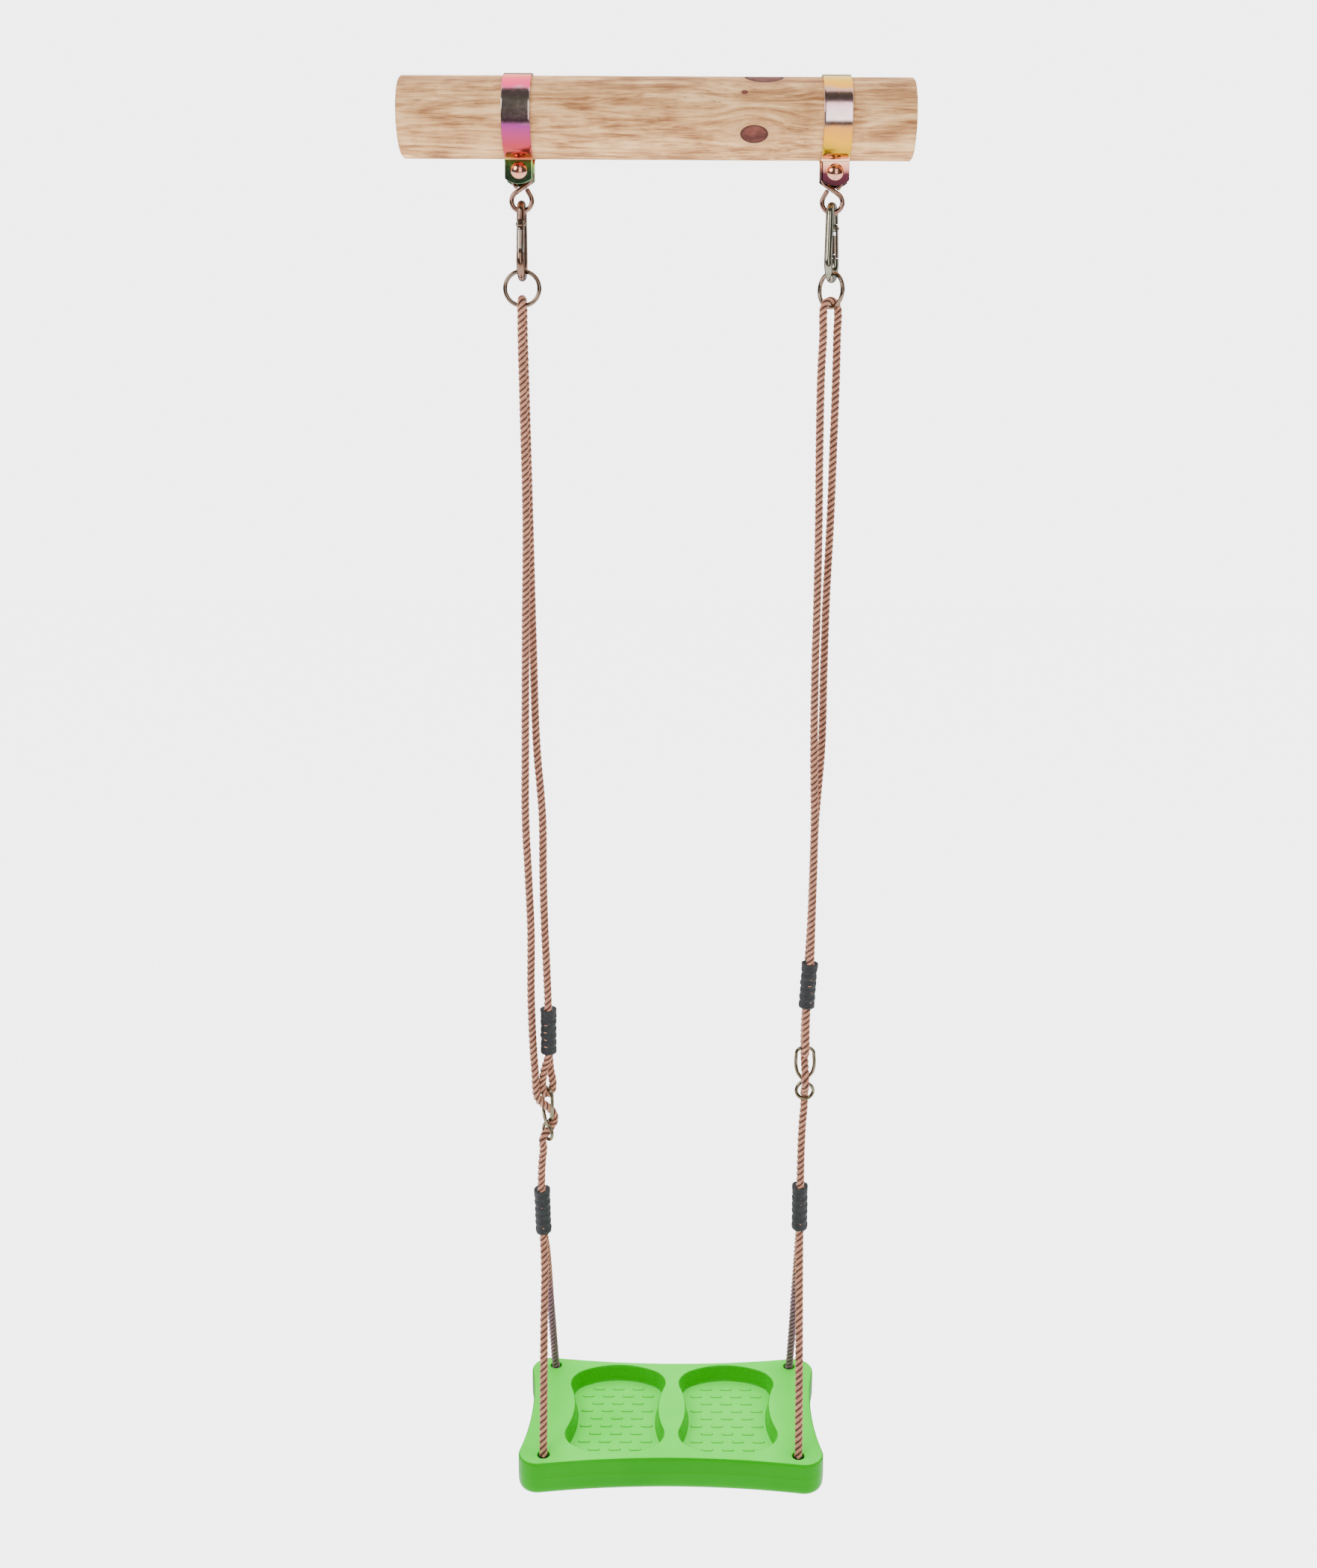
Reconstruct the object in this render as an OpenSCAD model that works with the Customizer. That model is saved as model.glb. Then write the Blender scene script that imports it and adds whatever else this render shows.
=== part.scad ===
// Stand-on footboard swing: a moulded board with two foot wells, hung by two
// height-adjustable ropes from a round beam.
// Frame: origin on the beam's axis, midway between the two clamps.
// +X to the user's right, +Y away from the user, +Z up. Millimetres.

/* [Beam] */
// Diameter of the round beam
beam_d = 100; // [94:1:102]
// Length of beam to the left of the origin
beam_left = 342; // [260:1:600]
// Length of beam to the right of the origin
beam_right = 292; // [260:1:600]
// Chamfer at the beam's sawn ends
beam_chamfer = 2; // [1:0.5:5]

/* [Clamps] */
// Distance between the middles of the two clamps
clamp_spacing = 392; // [390:1:394]
// Width of the strap along the beam
strap_w = 35; // [28:1:40]
// Thickness of the strap
strap_t = 3; // [2:0.5:4]
// Gap between the two ears of a strap
ear_gap = 22; // [16:1:26]
// Height of the bolt's axis, below the beam's axis
bolt_drop = 66; // [65:0.5:67]
// Diameter of the carriage bolt
bolt_d = 8; // [6:1:8]
// Diameter of the bolt's domed head
bolt_head_d = 20.6; // [18:0.2:24]

/* [Hooks and rings] */
// Thickness of the S-hook's wire
hook_wire = 6; // [5:0.5:6]
// Thickness of the carabiner's wire
carabiner_wire = 10; // [9:0.5:10]
// How far the right carabiner is turned out of the front-to-back plane
carabiner_turn = 17; // [0:1:25]
// Thickness of the ring's wire
ring_wire = 5.5; // [4:0.5:5.5]
// How far the right ring is turned out of the beam's plane
ring_turn = 53; // [40:1:60]
// How far a gate's tip stands clear of the nose that it closes on
gate_gap = 0.6; // [0.6:0.1:1]

/* [Rope] */
// Diameter of the rope
rope_d = 10; // [8:0.5:10]
// Outer diameter of the sleeves crimped round two strands
sleeve_d = 22; // [21.5:0.5:24]
// Length of a sleeve
sleeve_l = 60; // [50:1:60]
// Thickness of the adjuster's wire
adjuster_wire = 4.6; // [4:0.2:4.6]

/* [Footboard] */
// Thickness of the board
board_t = 43; // [40:1:46]
// Half of the board's width at the middle of its ends
board_waist = 189; // [187:1:192]
// Half of the board's depth at the middle of its front and back
board_belly = 104; // [103:1:108]
// Wall of the hollow moulding
board_wall = 3.5; // [2.5:0.5:4]
// Depth of the foot wells
well_depth = 22; // [15:1:24]
// Height of the anti-slip bars in the wells
bar_h = 1.5; // [1:0.5:2]

/* [Hidden] */

$fn = 96;
LEFT = -1;
RIGHT = 1;
eps = 0.01;

// Running clearances
rest_gap = 0.5;      // S-hook to carabiner
ring_gap = 0.35;     // carabiner to ring
rope_gap = 0.3;      // rope to the wire it bends round
rivet_gap = 0.05;    // rivet to the gate's cheeks, all round

// Chain under each clamp. The hooks hang a little inboard of their bolts,
// because the ropes pull them towards the middle.
chain_x = 194;
hook_r = 12.65;
hook_top_z = -70.8;
hook_bottom_z = -101.4;
hook_tail = 10;
hook_tail_angle = 30;
swing_z = hook_bottom_z - hook_r;

// Carabiner: pear shape, narrow end up
carabiner_l = 100;
crown_r = 13;
belly_r = 20;
crown_z = swing_z + hook_wire / 2 + rest_gap + carabiner_wire / 2 - crown_r;
belly_z = crown_z + crown_r + carabiner_wire / 2 - carabiner_l + carabiner_wire / 2 + belly_r;
side_angle = asin((belly_r - crown_r) / (crown_z - belly_z));
side_l = sqrt(pow(crown_z - belly_z, 2) - pow(belly_r - crown_r, 2));
gate_pivot = 15;
gate_tip = side_l - 5.5;
gate_tongue_t = 4.6;
gate_slot = 5.2;
gate_slot_l = 8;
nose_t = 3;
nose_slot = 3.6;
nose_slot_l = 5;
rivet_d = 3;
sway_z = belly_z - belly_r;

// Ring
ring_r = 21.5;
ring_z = sway_z + carabiner_wire / 2 + ring_gap + ring_wire / 2 - ring_r;

// Rope over the ring and round the adjuster's top bar
bight_r = 12;
bight_z = ring_z - ring_r + ring_wire / 2 + rope_gap + rope_d / 2 - bight_r;
eye_r = (adjuster_wire + rope_d) / 2 + rope_gap;
strand_y = 5.1;      // each of two strands in a sleeve, either side of its axis
rope_sides = 10;
ring_step = 33;      // longest stretch of rope between two of its cross-sections

// Adjusters: where the top bar's middle is, and which way the rope stands off at
// the waist, as an angle from +X
adjuster_left = [-166.5, 0, -1254.3];
adjuster_left_yaw = 35;
adjuster_right = [174.5, 0, -1196.3];
adjuster_right_yaw = -90;

// Footboard
hole_x = 165;
hole_y = 98;
hole_d = 15;
board_top = -1705;
corner = [172, 91];
corner_r = 26;
well_x = 75;
well_y = 2;
well_corner = [33, 55];
well_corner_r = 32;
well_waist = 56;
well_end = 98;
groove_w = 12.6;
groove_d = 12.5;
pivot_z = board_top - 3;

// ---------- geometry helpers ----------

function unit(v) = v / norm(v);

// Centre, along one axis, of the arc that passes mid on that axis and is tangent
// to a corner circle of radius r at (along, across)
function flank_centre(mid, r, along, across) =
    (pow(mid - r, 2) - along * along - across * across) / (2 * (mid - r - along));

// Point where a corner circle meets such an arc
function flank_touch(corner, r, centre) =
    let (out = norm(centre) > norm(corner) ? 1 : -1)
    corner + out * r * unit(centre - corner);

function arc(c, from, to, steps) =
    let (a = atan2(from[1] - c[1], from[0] - c[0]),
         b0 = atan2(to[1] - c[1], to[0] - c[0]),
         b = b0 - a > 180 ? b0 - 360 : b0 - a < -180 ? b0 + 360 : b0,
         r = norm(from - c))
    [for (i = [0 : steps]) c + r * [cos(a + (b - a) * i / steps), sin(a + (b - a) * i / steps)]];

// A four-cornered outline whose sides are arcs that pass side_mid and end_mid.
// Shrinking it by inset keeps every arc's centre.
function waisted_quarter(c, r, side_mid, end_mid, inset) =
    let (side_c = [flank_centre(side_mid, r, c[0], c[1]), 0],
         end_c = [0, flank_centre(end_mid, r, c[1], c[0])],
         t_side = flank_touch(c, r - inset, side_c),
         t_end = flank_touch(c, r - inset, end_c))
    concat(
        arc(side_c, [side_mid - inset, 0], t_side, 5),
        arc(c, t_side, t_end, 8),
        arc(end_c, t_end, [0, end_mid - inset], 5));

function waisted(c, r, side_mid, end_mid, inset = 0) =
    let (q = waisted_quarter(c, r, side_mid, end_mid, inset), n = len(q) - 1)
    concat(
        [for (i = [0 : n - 1]) if (i != 5 + 1 && i != 5 + 1 + 8 + 1) q[i]],
        [for (i = [n : -1 : 1]) if (i != 5 + 1 && i != 5 + 1 + 8 + 1) [-q[i][0], q[i][1]]],
        [for (i = [0 : n - 1]) if (i != 5 + 1 && i != 5 + 1 + 8 + 1) [-q[i][0], -q[i][1]]],
        [for (i = [n : -1 : 1]) if (i != 5 + 1 && i != 5 + 1 + 8 + 1) [q[i][0], -q[i][1]]]);

// Slope of a smooth curve at point i of a route
function slope(p, i) =
    i == 0 ? unit(p[1] - p[0])
    : i == len(p) - 1 ? unit(p[i] - p[i - 1])
    : let (a = norm(p[i] - p[i - 1]), b = norm(p[i + 1] - p[i]))
      ((p[i] - p[i - 1]) * b / a + (p[i + 1] - p[i]) * a / b) / (a + b);

// The route with extra points on the same smooth curve, none further apart than step
function smooth_route(p, step) = [
    for (i = [0 : len(p) - 2])
        let (d = norm(p[i + 1] - p[i]), n = max(1, ceil(d / step)),
             m0 = slope(p, i) * d, m1 = slope(p, i + 1) * d)
        for (k = [0 : n - 1])
            let (t = k / n)
            (2 * t * t * t - 3 * t * t + 1) * p[i] + (t * t * t - 2 * t * t + t) * m0
            + (3 * t * t - 2 * t * t * t) * p[i + 1] + (t * t * t - t * t) * m1,
    p[len(p) - 1]
];

function across(n, t) = unit(n - t * (n * t));

// One direction square to the route at each point, turning as little as it can
function normals(t) = [
    for (i = 0, n = across(abs(t[0][2]) < 0.9 ? [0, 0, 1] : [1, 0, 0], t[0]);
         i < len(t);
         i = i + 1, n = i < len(t) ? across(n, t[i]) : n) n
];

// Round cord of radius r along the points p
module sweep(p, r, sides) {
    n = len(p);
    t = [for (i = [0 : n - 1]) unit(p[min(i + 1, n - 1)] - p[max(i - 1, 0)])];
    u = normals(t);
    pts = [for (i = [0 : n - 1]) for (k = [0 : sides - 1])
        let (a = 360 * k / sides) p[i] + r * (cos(a) * u[i] + sin(a) * cross(t[i], u[i]))];
    walls = [for (i = [0 : n - 2]) for (k = [0 : sides - 1])
        let (a = i * sides + k, b = i * sides + (k + 1) % sides)
        each [[a, a + sides, b + sides], [a, b + sides, b]]];
    caps = [[for (k = [0 : sides - 1]) k],
            [for (k = [sides - 1 : -1 : 0]) (n - 1) * sides + k]];
    polyhedron(points = pts, faces = concat(walls, caps), convexity = 10);
}

// Wire bent to an arc in the XZ plane, angles from +X towards +Z
module bent_wire(r, wire, from, to) {
    rotate([90, 0, 0])
        rotate([0, 0, from])
            rotate_extrude(angle = to - from)
                translate([r, 0]) circle(d = wire, $fn = 32);
}

// Ball where two stretches of wire meet, a hair thicker than the wire
module wire_joint(x, z, wire) {
    translate([x, 0, z]) sphere(d = wire + 0.1, $fn = 48);
}

// Straight wire in the XZ plane from a point, along an angle
module straight_wire(x, z, angle, l, wire) {
    translate([x, 0, z]) rotate([0, 90 - angle, 0]) cylinder(d = wire, h = l, $fn = 32);
}

// ---------- beam and clamps ----------

module beam() {
    color("burlywood")
        translate([-beam_left, 0, 0]) rotate([0, 90, 0]) {
            cylinder(d1 = beam_d - 2 * beam_chamfer, d2 = beam_d, h = beam_chamfer);
            translate([0, 0, beam_chamfer])
                cylinder(d = beam_d, h = beam_left + beam_right - 2 * beam_chamfer);
            translate([0, 0, beam_left + beam_right - beam_chamfer])
                cylinder(d1 = beam_d, d2 = beam_d - 2 * beam_chamfer, h = beam_chamfer);
        }
}

// Strip of metal filling the inside of the bend between the strap's band and an
// ear, drawn in the (Y, Z) plane
module ear_bend(band_r, ear_y, bend_r) {
    c = [ear_y + bend_r, -sqrt(pow(band_r + bend_r, 2) - pow(ear_y + bend_r, 2))];
    on_band = c * band_r / norm(c);
    on_ear = [ear_y, c[1]];
    inner = [ear_y - strap_t / 2, on_band[1] + 1];
    polygon(concat([inner], arc(c, on_band, on_ear, 6), [[inner[0], on_ear[1]]]));
}

module clamp_strap(side) {
    band_r = beam_d / 2 + strap_t;
    ear_y = ear_gap / 2 + strap_t;
    ear_bottom = -bolt_drop - 16.5;
    ear_round = 27;
    color("goldenrod")
        translate([side * clamp_spacing / 2, 0, 0]) {
            difference() {
                rotate([0, 90, 0]) cylinder(r = band_r, h = strap_w, center = true, $fn = 128);
                rotate([0, 90, 0])
                    cylinder(r = beam_d / 2 + 0.05, h = strap_w + 2, center = true, $fn = 128);
                translate([-strap_w, -ear_gap / 2, -band_r - 1])
                    cube([2 * strap_w, ear_gap, band_r]);
            }
            for (s = [-1, 1]) {
                mirror([0, s < 0 ? 1 : 0, 0]) {
                    rotate([90, 0, 90])
                        linear_extrude(strap_w, center = true) ear_bend(band_r, ear_y, 5);
                    difference() {
                        intersection() {
                            translate([-strap_w / 2, ear_gap / 2, ear_bottom])
                                cube([strap_w, strap_t, -ear_bottom - 48]);
                            translate([0, 0, ear_bottom + ear_round])
                                rotate([-90, 0, 0]) cylinder(r = ear_round, h = 40);
                        }
                        translate([0, 0, -bolt_drop])
                            rotate([-90, 0, 0]) cylinder(d = bolt_d + 0.6, h = 40);
                        if (s < 0)
                            translate([-bolt_d / 2 - 0.2, 0, -bolt_drop - bolt_d / 2 - 0.2])
                                cube([bolt_d + 0.4, 40, bolt_d + 0.4]);
                        rotate([0, 90, 0])
                            cylinder(r = beam_d / 2 + 0.05, h = strap_w + 2, center = true, $fn = 128);
                    }
                }
            }
        }
}

// Carriage bolt: domed head at the front, square neck in the front ear
module carriage_bolt(side) {
    front = -ear_gap / 2 - strap_t;
    head_h = 4.8;
    dome_r = (pow(bolt_head_d / 2, 2) + head_h * head_h) / (2 * head_h);
    color("silver")
        translate([side * clamp_spacing / 2, front, -bolt_drop]) rotate([-90, 0, 0]) {
            intersection() {
                translate([0, 0, dome_r - head_h]) sphere(r = dome_r);
                translate([0, 0, -head_h - 1]) cylinder(d = bolt_head_d + 2, h = head_h + 1);
            }
            translate([-bolt_d / 2, -bolt_d / 2, -eps]) cube([bolt_d, bolt_d, strap_t + eps]);
            cylinder(d = bolt_d, h = ear_gap + 2 * strap_t + 12);
        }
}

module washer(side) {
    color("silver")
        translate([side * clamp_spacing / 2, ear_gap / 2 + strap_t, -bolt_drop])
            rotate([-90, 0, 0])
                difference() {
                    cylinder(d = 2 * bolt_d, h = 1.6);
                    translate([0, 0, -1]) cylinder(d = bolt_d + 0.4, h = 4);
                }
}

// Lock nut: hexagon with a round collar that holds the locking insert
module lock_nut(side) {
    color("silver")
        translate([side * clamp_spacing / 2, ear_gap / 2 + strap_t + 1.6, -bolt_drop])
            rotate([-90, 0, 0])
                difference() {
                    union() {
                        cylinder(d = 15, h = 6, $fn = 6);
                        translate([0, 0, 6]) cylinder(d = 12.4, h = 2);
                    }
                    translate([0, 0, -1]) cylinder(d = bolt_d + 0.1, h = 12);
                }
}

// ---------- hooks, carabiners and rings ----------

// Two loops joined by a slanting shank. The right one is the left one's mirror image.
module s_hook(side) {
    gap = hook_top_z - hook_bottom_z;
    lean = asin(2 * hook_r / gap);
    shank = sqrt(gap * gap - 4 * hook_r * hook_r);
    color("tan")
        translate([side * chain_x, 0, 0]) mirror([side > 0 ? 1 : 0, 0, 0]) {
            for (half = [0, 1]) {
                translate([0, 0, (hook_top_z + hook_bottom_z) / 2])
                    rotate([0, 180 * half, 0])
                        translate([0, 0, -gap / 2]) {
                            bent_wire(hook_r, hook_wire, 180 - lean, 360 + hook_tail_angle);
                            straight_wire(hook_r * cos(hook_tail_angle),
                                hook_r * sin(hook_tail_angle), 90 + hook_tail_angle,
                                hook_tail, hook_wire);
                            wire_joint(hook_r * cos(hook_tail_angle),
                                hook_r * sin(hook_tail_angle), hook_wire);
                            wire_joint(-hook_r * cos(lean), hook_r * sin(lean), hook_wire);
                        }
            }
            translate([0, 0, hook_bottom_z])
                straight_wire(-hook_r * cos(lean), hook_r * sin(lean), 90 - lean,
                    shank, hook_wire);
        }
}

// Puts its children in a carabiner's own plane: local +X is the gate's side
module carabiner_frame(side) {
    translate([side * chain_x, 0, 0])
        rotate([0, 0, side < 0 ? -90 : 90 - carabiner_turn]) children();
}

// Puts its children on the gate's line: +Z runs down the gate, +X points inwards
module gate_frame(side) {
    carabiner_frame(side)
        translate([crown_r * cos(side_angle), 0, crown_z + crown_r * sin(side_angle)])
            rotate([0, 180 - side_angle, 0]) children();
}

module carabiner(side) {
    color("rosybrown")
        difference() {
            union() {
                carabiner_frame(side) {
                    translate([0, 0, crown_z])
                        bent_wire(crown_r, carabiner_wire, side_angle, 180 - side_angle);
                    translate([0, 0, belly_z])
                        bent_wire(belly_r, carabiner_wire, 180 - side_angle, 360 + side_angle);
                    straight_wire(-crown_r * cos(side_angle),
                        crown_z + crown_r * sin(side_angle), -90 - side_angle,
                        side_l, carabiner_wire);
                    for (s = [-1, 1]) {
                        wire_joint(s * crown_r * cos(side_angle),
                            crown_z + crown_r * sin(side_angle), carabiner_wire);
                        wire_joint(s * belly_r * cos(side_angle),
                            belly_z + belly_r * sin(side_angle), carabiner_wire);
                    }
                }
                gate_frame(side) {
                    cylinder(d = carabiner_wire, h = gate_pivot - 5 - gate_gap, $fn = 32);
                    translate([0, 0, gate_tip + gate_gap])
                        cylinder(d = carabiner_wire, h = side_l - gate_tip - gate_gap, $fn = 32);
                    translate([-3.6, -gate_tongue_t / 2, gate_pivot - 7])
                        cube([7.2, gate_tongue_t, 7]);
                    translate([0, gate_tongue_t / 2, gate_pivot])
                        rotate([90, 0, 0]) cylinder(r = 4.2, h = gate_tongue_t);
                    translate([-3.4, -nose_t / 2, gate_tip - nose_slot_l + 1])
                        cube([6.8, nose_t, nose_slot_l + 1]);
                }
            }
            gate_frame(side)
                translate([0, 10, gate_pivot]) rotate([90, 0, 0]) cylinder(d = rivet_d, h = 20);
        }
}

module gate(side) {
    color("gainsboro")
        gate_frame(side)
            difference() {
                intersection() {
                    translate([0, 0, gate_pivot - 6])
                        cylinder(d = carabiner_wire, h = gate_tip - gate_pivot + 6);
                    union() {
                        translate([-6, -6, gate_pivot]) cube([12, 12, gate_tip]);
                        translate([0, 6, gate_pivot]) rotate([90, 0, 0]) cylinder(r = 4.9, h = 12);
                    }
                }
                translate([-8, -gate_slot / 2, gate_pivot - 8])
                    cube([16, gate_slot, gate_slot_l + 8]);
                translate([-8, -nose_slot / 2, gate_tip - nose_slot_l])
                    cube([16, nose_slot, nose_slot_l + 1]);
                translate([0, 0, gate_pivot + gate_slot_l - 1]) cylinder(d = 5.2, h = 14);
                translate([0, 10, gate_pivot])
                    rotate([90, 0, 0]) cylinder(d = rivet_d + 2 * rivet_gap, h = 20);
            }
}

module gate_rivet(side) {
    color("dimgray")
        gate_frame(side)
            translate([0, 0, gate_pivot]) rotate([90, 0, 0]) {
                cylinder(d = rivet_d, h = 11, center = true);
                for (s = [0, 1])
                    mirror([0, 0, s]) translate([0, 0, carabiner_wire / 2 + 0.1])
                        cylinder(d1 = 4.6, d2 = 3.4, h = 0.9);
            }
}

// Coil spring in the gate's bore, pressing on the tongue's round end
module gate_spring(side) {
    coil_r = 1.8;
    wire_r = 0.35;
    turns = 6;
    steps = 10;
    from = gate_pivot + 4.9;
    l = 15;
    color("gray")
        gate_frame(side)
            sweep([for (i = [0 : turns * steps])
                let (a = 360 * i / steps)
                [coil_r * cos(a), coil_r * sin(a), from + l * i / (turns * steps)]],
                wire_r, 6);
}

module hanging_ring(side) {
    color("silver")
        translate([side * chain_x, 0, ring_z])
            rotate([0, 0, side > 0 ? -ring_turn : 0])
                rotate([90, 0, 0])
                    rotate_extrude() translate([ring_r, 0]) circle(d = ring_wire, $fn = 32);
}

// ---------- rope ----------

// Points of a half turn of radius r round a level wire at c, from one side, over
// (s = 1) or under (s = -1) the wire, to the other. yaw is the way to the far side.
function half_turn(c, yaw, r, s, steps) = [
    for (i = [0 : steps])
        let (a = 180 * i / steps)
        c + r * [-cos(a) * cos(yaw), -cos(a) * sin(yaw), s * sin(a)]
];

// Rope's weave through an adjuster, as [stand-off towards yaw, height above the top
// bar]: down behind the eye, out through the slot, in front of the waist, in through
// the lower loop and down behind it
weave = [[-18, 6], [-16.5, -6], [-12.5, -14], [-6.5, -20], [0, -26], [6, -32.5],
         [9.8, -40], [10.4, -46], [7, -52.5], [0, -59], [-6, -64.5], [-8.2, -70.5],
         [-7, -80]];
function woven(c, yaw) = [for (w = weave) c + [w[0] * cos(yaw), w[0] * sin(yaw), w[1]]];

ring_left_c = [-chain_x, 0, bight_z];
ring_right_c = [chain_x, 0, bight_z];

// Each rope runs from its tail in the upper sleeve, round the adjuster's top bar,
// up through the sleeve, over the ring, down through the adjuster and the lower
// sleeve to the front hole of the board.
route_left = concat(
    [[-165, 5.1, -1150], [-165, 5.1, -1180], [-165, 5.1, -1208], [-163.5, 5.6, -1228]],
    half_turn(adjuster_left, adjuster_left_yaw + 180, eye_r, -1, 8),
    [[-170.5, -5.4, -1228], [-165, -5.1, -1208], [-165, -5.1, -1175], [-165, -5.1, -1142],
     [-167, -4, -1085], [-169.5, -1, -1033], [-171.5, 2, -960], [-172, 4, -893],
     [-179.5, 7, -794], [-184, 9, -650], [-187.5, 10.5, -500], [-191.5, 11.5, -340],
     [-193.6, 12, -262]],
    half_turn(ring_left_c, -90, bight_r, 1, 8),
    [[-194, -12, -262], [-192.5, -11.5, -340], [-189.5, -10.5, -500], [-191.5, -8, -650],
     [-193, -5, -794], [-193.5, -3, -893], [-190.5, -3, -960], [-187.5, -3, -1033],
     [-187.5, -3, -1134], [-184.5, -7, -1200], [-182, -10, -1232]],
    woven(adjuster_left, adjuster_left_yaw),
    [[-173.8, -4.4, -1352], [-174.8, -5.1, -1388], [-174.6, -5.1, -1394],
     [-173, -5.1, -1442], [-172.6, -5.1, -1454], [-172.1, -6.8, -1464],
     [-170.8, -12, -1480],
     [-168.6, -46, -1571], [-166.4, -80, -1662], [-165.4, -95.6, -1701.5],
     [-165, -98, -1708]]);

route_right = concat(
    [[178.9, 5.1, -1086], [176.9, 5.1, -1118], [175.3, 5.1, -1143], [174.6, 6, -1166]],
    half_turn(adjuster_right, adjuster_right_yaw, eye_r, -1, 8),
    [[174.6, -6, -1166], [175.3, -5.1, -1143], [177.2, -5.1, -1113], [179.2, -5.1, -1081],
     [180, -5.4, -1041], [182, -6, -891], [180, -7, -792], [180, -7.5, -694],
     [181.5, -7.5, -597], [182.2, -7.4, -501], [181.8, -7.3, -406], [182.6, -7.2, -312],
     [184.4, -7.2, -262]],
    half_turn(ring_right_c, 90 - ring_turn, bight_r, 1, 8),
    [[203.2, 7.2, -262], [202.8, 7.6, -312], [200.6, 8, -406], [198.2, 8.5, -501],
     [194.5, 9, -597], [192.6, 9.6, -694], [191.4, 10.4, -792], [185, 13, -891],
     [180.5, 16.6, -1041], [178.5, 17, -1081], [176, 17.2, -1141], [174.8, 17.8, -1172]],
    woven(adjuster_right, adjuster_right_yaw),
    [[172.4, 3, -1300], [170.4, -3, -1345], [170, -5.1, -1380], [170, -5.1, -1387],
     [170, -5.1, -1435], [170, -5.1, -1447], [169.9, -6.8, -1457],
     [169.6, -12, -1474],
     [168, -46, -1567], [166.4, -80, -1660], [165.3, -95.6, -1701.5],
     [165, -98, -1708]]);

// Tail of each rope: back up from the board's rear hole into the lower sleeve
tail_left = [[-174.4, 5.1, -1400], [-173, 5.1, -1442], [-172.6, 5.1, -1454],
    [-172.1, 6.8, -1464],
    [-170.8, 12, -1480], [-168.6, 46, -1571], [-166.4, 80, -1662],
    [-165.4, 95.6, -1701.5], [-165, 98, -1708]];
tail_right = [[170, 5.1, -1393], [170, 5.1, -1435], [170, 5.1, -1447],
    [169.9, 6.8, -1457],
    [169.6, 12, -1474], [168, 46, -1567], [166.4, 80, -1660],
    [165.3, 95.6, -1701.5], [165, 98, -1708]];

// Strand that ends in a ball on the board's rocking axis, so that it can lean there
module rope(route) {
    color("peru") {
        sweep(smooth_route(route, ring_step), rope_d / 2, rope_sides);
    }
}

// Stretch of rope held by the board: down the front hole, along the groove
// underneath and up the rear hole
module rope_underrun(side) {
    low = board_top - board_t + groove_d / 2;
    turn = 12;
    top = pivot_z - 3.5;
    half = concat(
        [[side * hole_x, -hole_y, top], [side * hole_x, -hole_y, low + turn + 2]],
        [for (i = [0 : 5]) let (a = 90 * i / 5)
            [side * hole_x, -hole_y + turn * (1 - cos(a)), low + turn * (1 - sin(a))]]);
    back = [for (i = [len(half) - 1 : -1 : 0]) [half[i][0], -half[i][1], half[i][2]]];
    color("sienna") sweep(concat(half, back), rope_d / 2 - 0.2, rope_sides);
}

// Wire bent to a tall slot over a round loop, its two ends butted at the top bar
adjuster_path = [[0.2, 0, 0], [4, 0, -0.2], [8, 0, -1.8], [11, 0, -5.5], [11.7, 0, -11],
    [11.7, 0, -27], [9.5, 0.6, -34.5], [5, 1.9, -40.5], [0, 2.6, -45], [-5, 1.9, -49],
    [-9.4, 0.6, -53.5], [-11.2, 0, -59], [-9.4, 0, -65], [-5, 0, -69], [0, 0, -70.1],
    [5, 0, -69], [9.4, 0, -65], [11.2, 0, -59], [9.4, -0.6, -53.5], [5, -1.9, -49],
    [0, -2.6, -45], [-5, -1.9, -40.5], [-9.5, -0.6, -34.5], [-11.7, 0, -27],
    [-11.7, 0, -11], [-11, 0, -5.5], [-8, 0, -1.8], [-4, 0, -0.2], [-0.2, 0, 0]];

module height_adjuster(c, yaw) {
    color("darkkhaki")
        translate(c) rotate([0, 0, yaw - 90])
            sweep(smooth_route(adjuster_path, 6), adjuster_wire / 2, 10);
}

// Sleeve shrunk and crimped round two strands, its top at (x, z), leaning by lean
module sleeve(x, z, lean) {
    bands = [[0, 0.6], [0.04, 0], [0.22, 0.15], [0.26, 0.5], [0.36, 0.55], [0.42, -0.1],
             [0.5, 0.35], [0.62, 0.4], [0.68, 0], [0.78, 0.3], [0.92, 0.35], [1, 0.9]];
    color("darkslategray")
        translate([x, 0, z]) rotate([0, lean, 0]) mirror([0, 0, 1])
            difference() {
                rotate_extrude()
                    polygon(concat([[0, 0]],
                        [for (b = bands) [sleeve_d / 2 - b[1], sleeve_l * b[0]]],
                        [[0, sleeve_l]]));
                for (s = [-1, 1])
                    translate([0, s * strand_y, -1])
                        cylinder(d = rope_d + 0.1, h = sleeve_l + 2);
            }
}

// ---------- footboard ----------

function board_outline(inset) =
    waisted(corner, corner_r, board_waist, board_belly, inset);
function well_outline(inset) =
    waisted(well_corner, well_corner_r, well_waist, well_end - well_y, inset);

// Short bars, rounded at both ends, in staggered rows of three and four
module grip_bars() {
    pitch_x = 27.5;
    pitch_y = 16.4;
    bar_l = 15;
    bar_w = 5;
    rows = 10;
    for (row = [0 : rows - 1])
        for (k = [0 : row % 2 == 0 ? 3 : 2])
            translate([(k - (row % 2 == 0 ? 1.5 : 1)) * pitch_x, (row - (rows - 1) / 2) * pitch_y]) {
                square([bar_l - bar_w, bar_w], center = true);
                for (s = [-1, 1])
                    translate([s * (bar_l - bar_w) / 2, 0]) circle(d = bar_w + 0.2, $fn = 24);
            }
}

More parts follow.
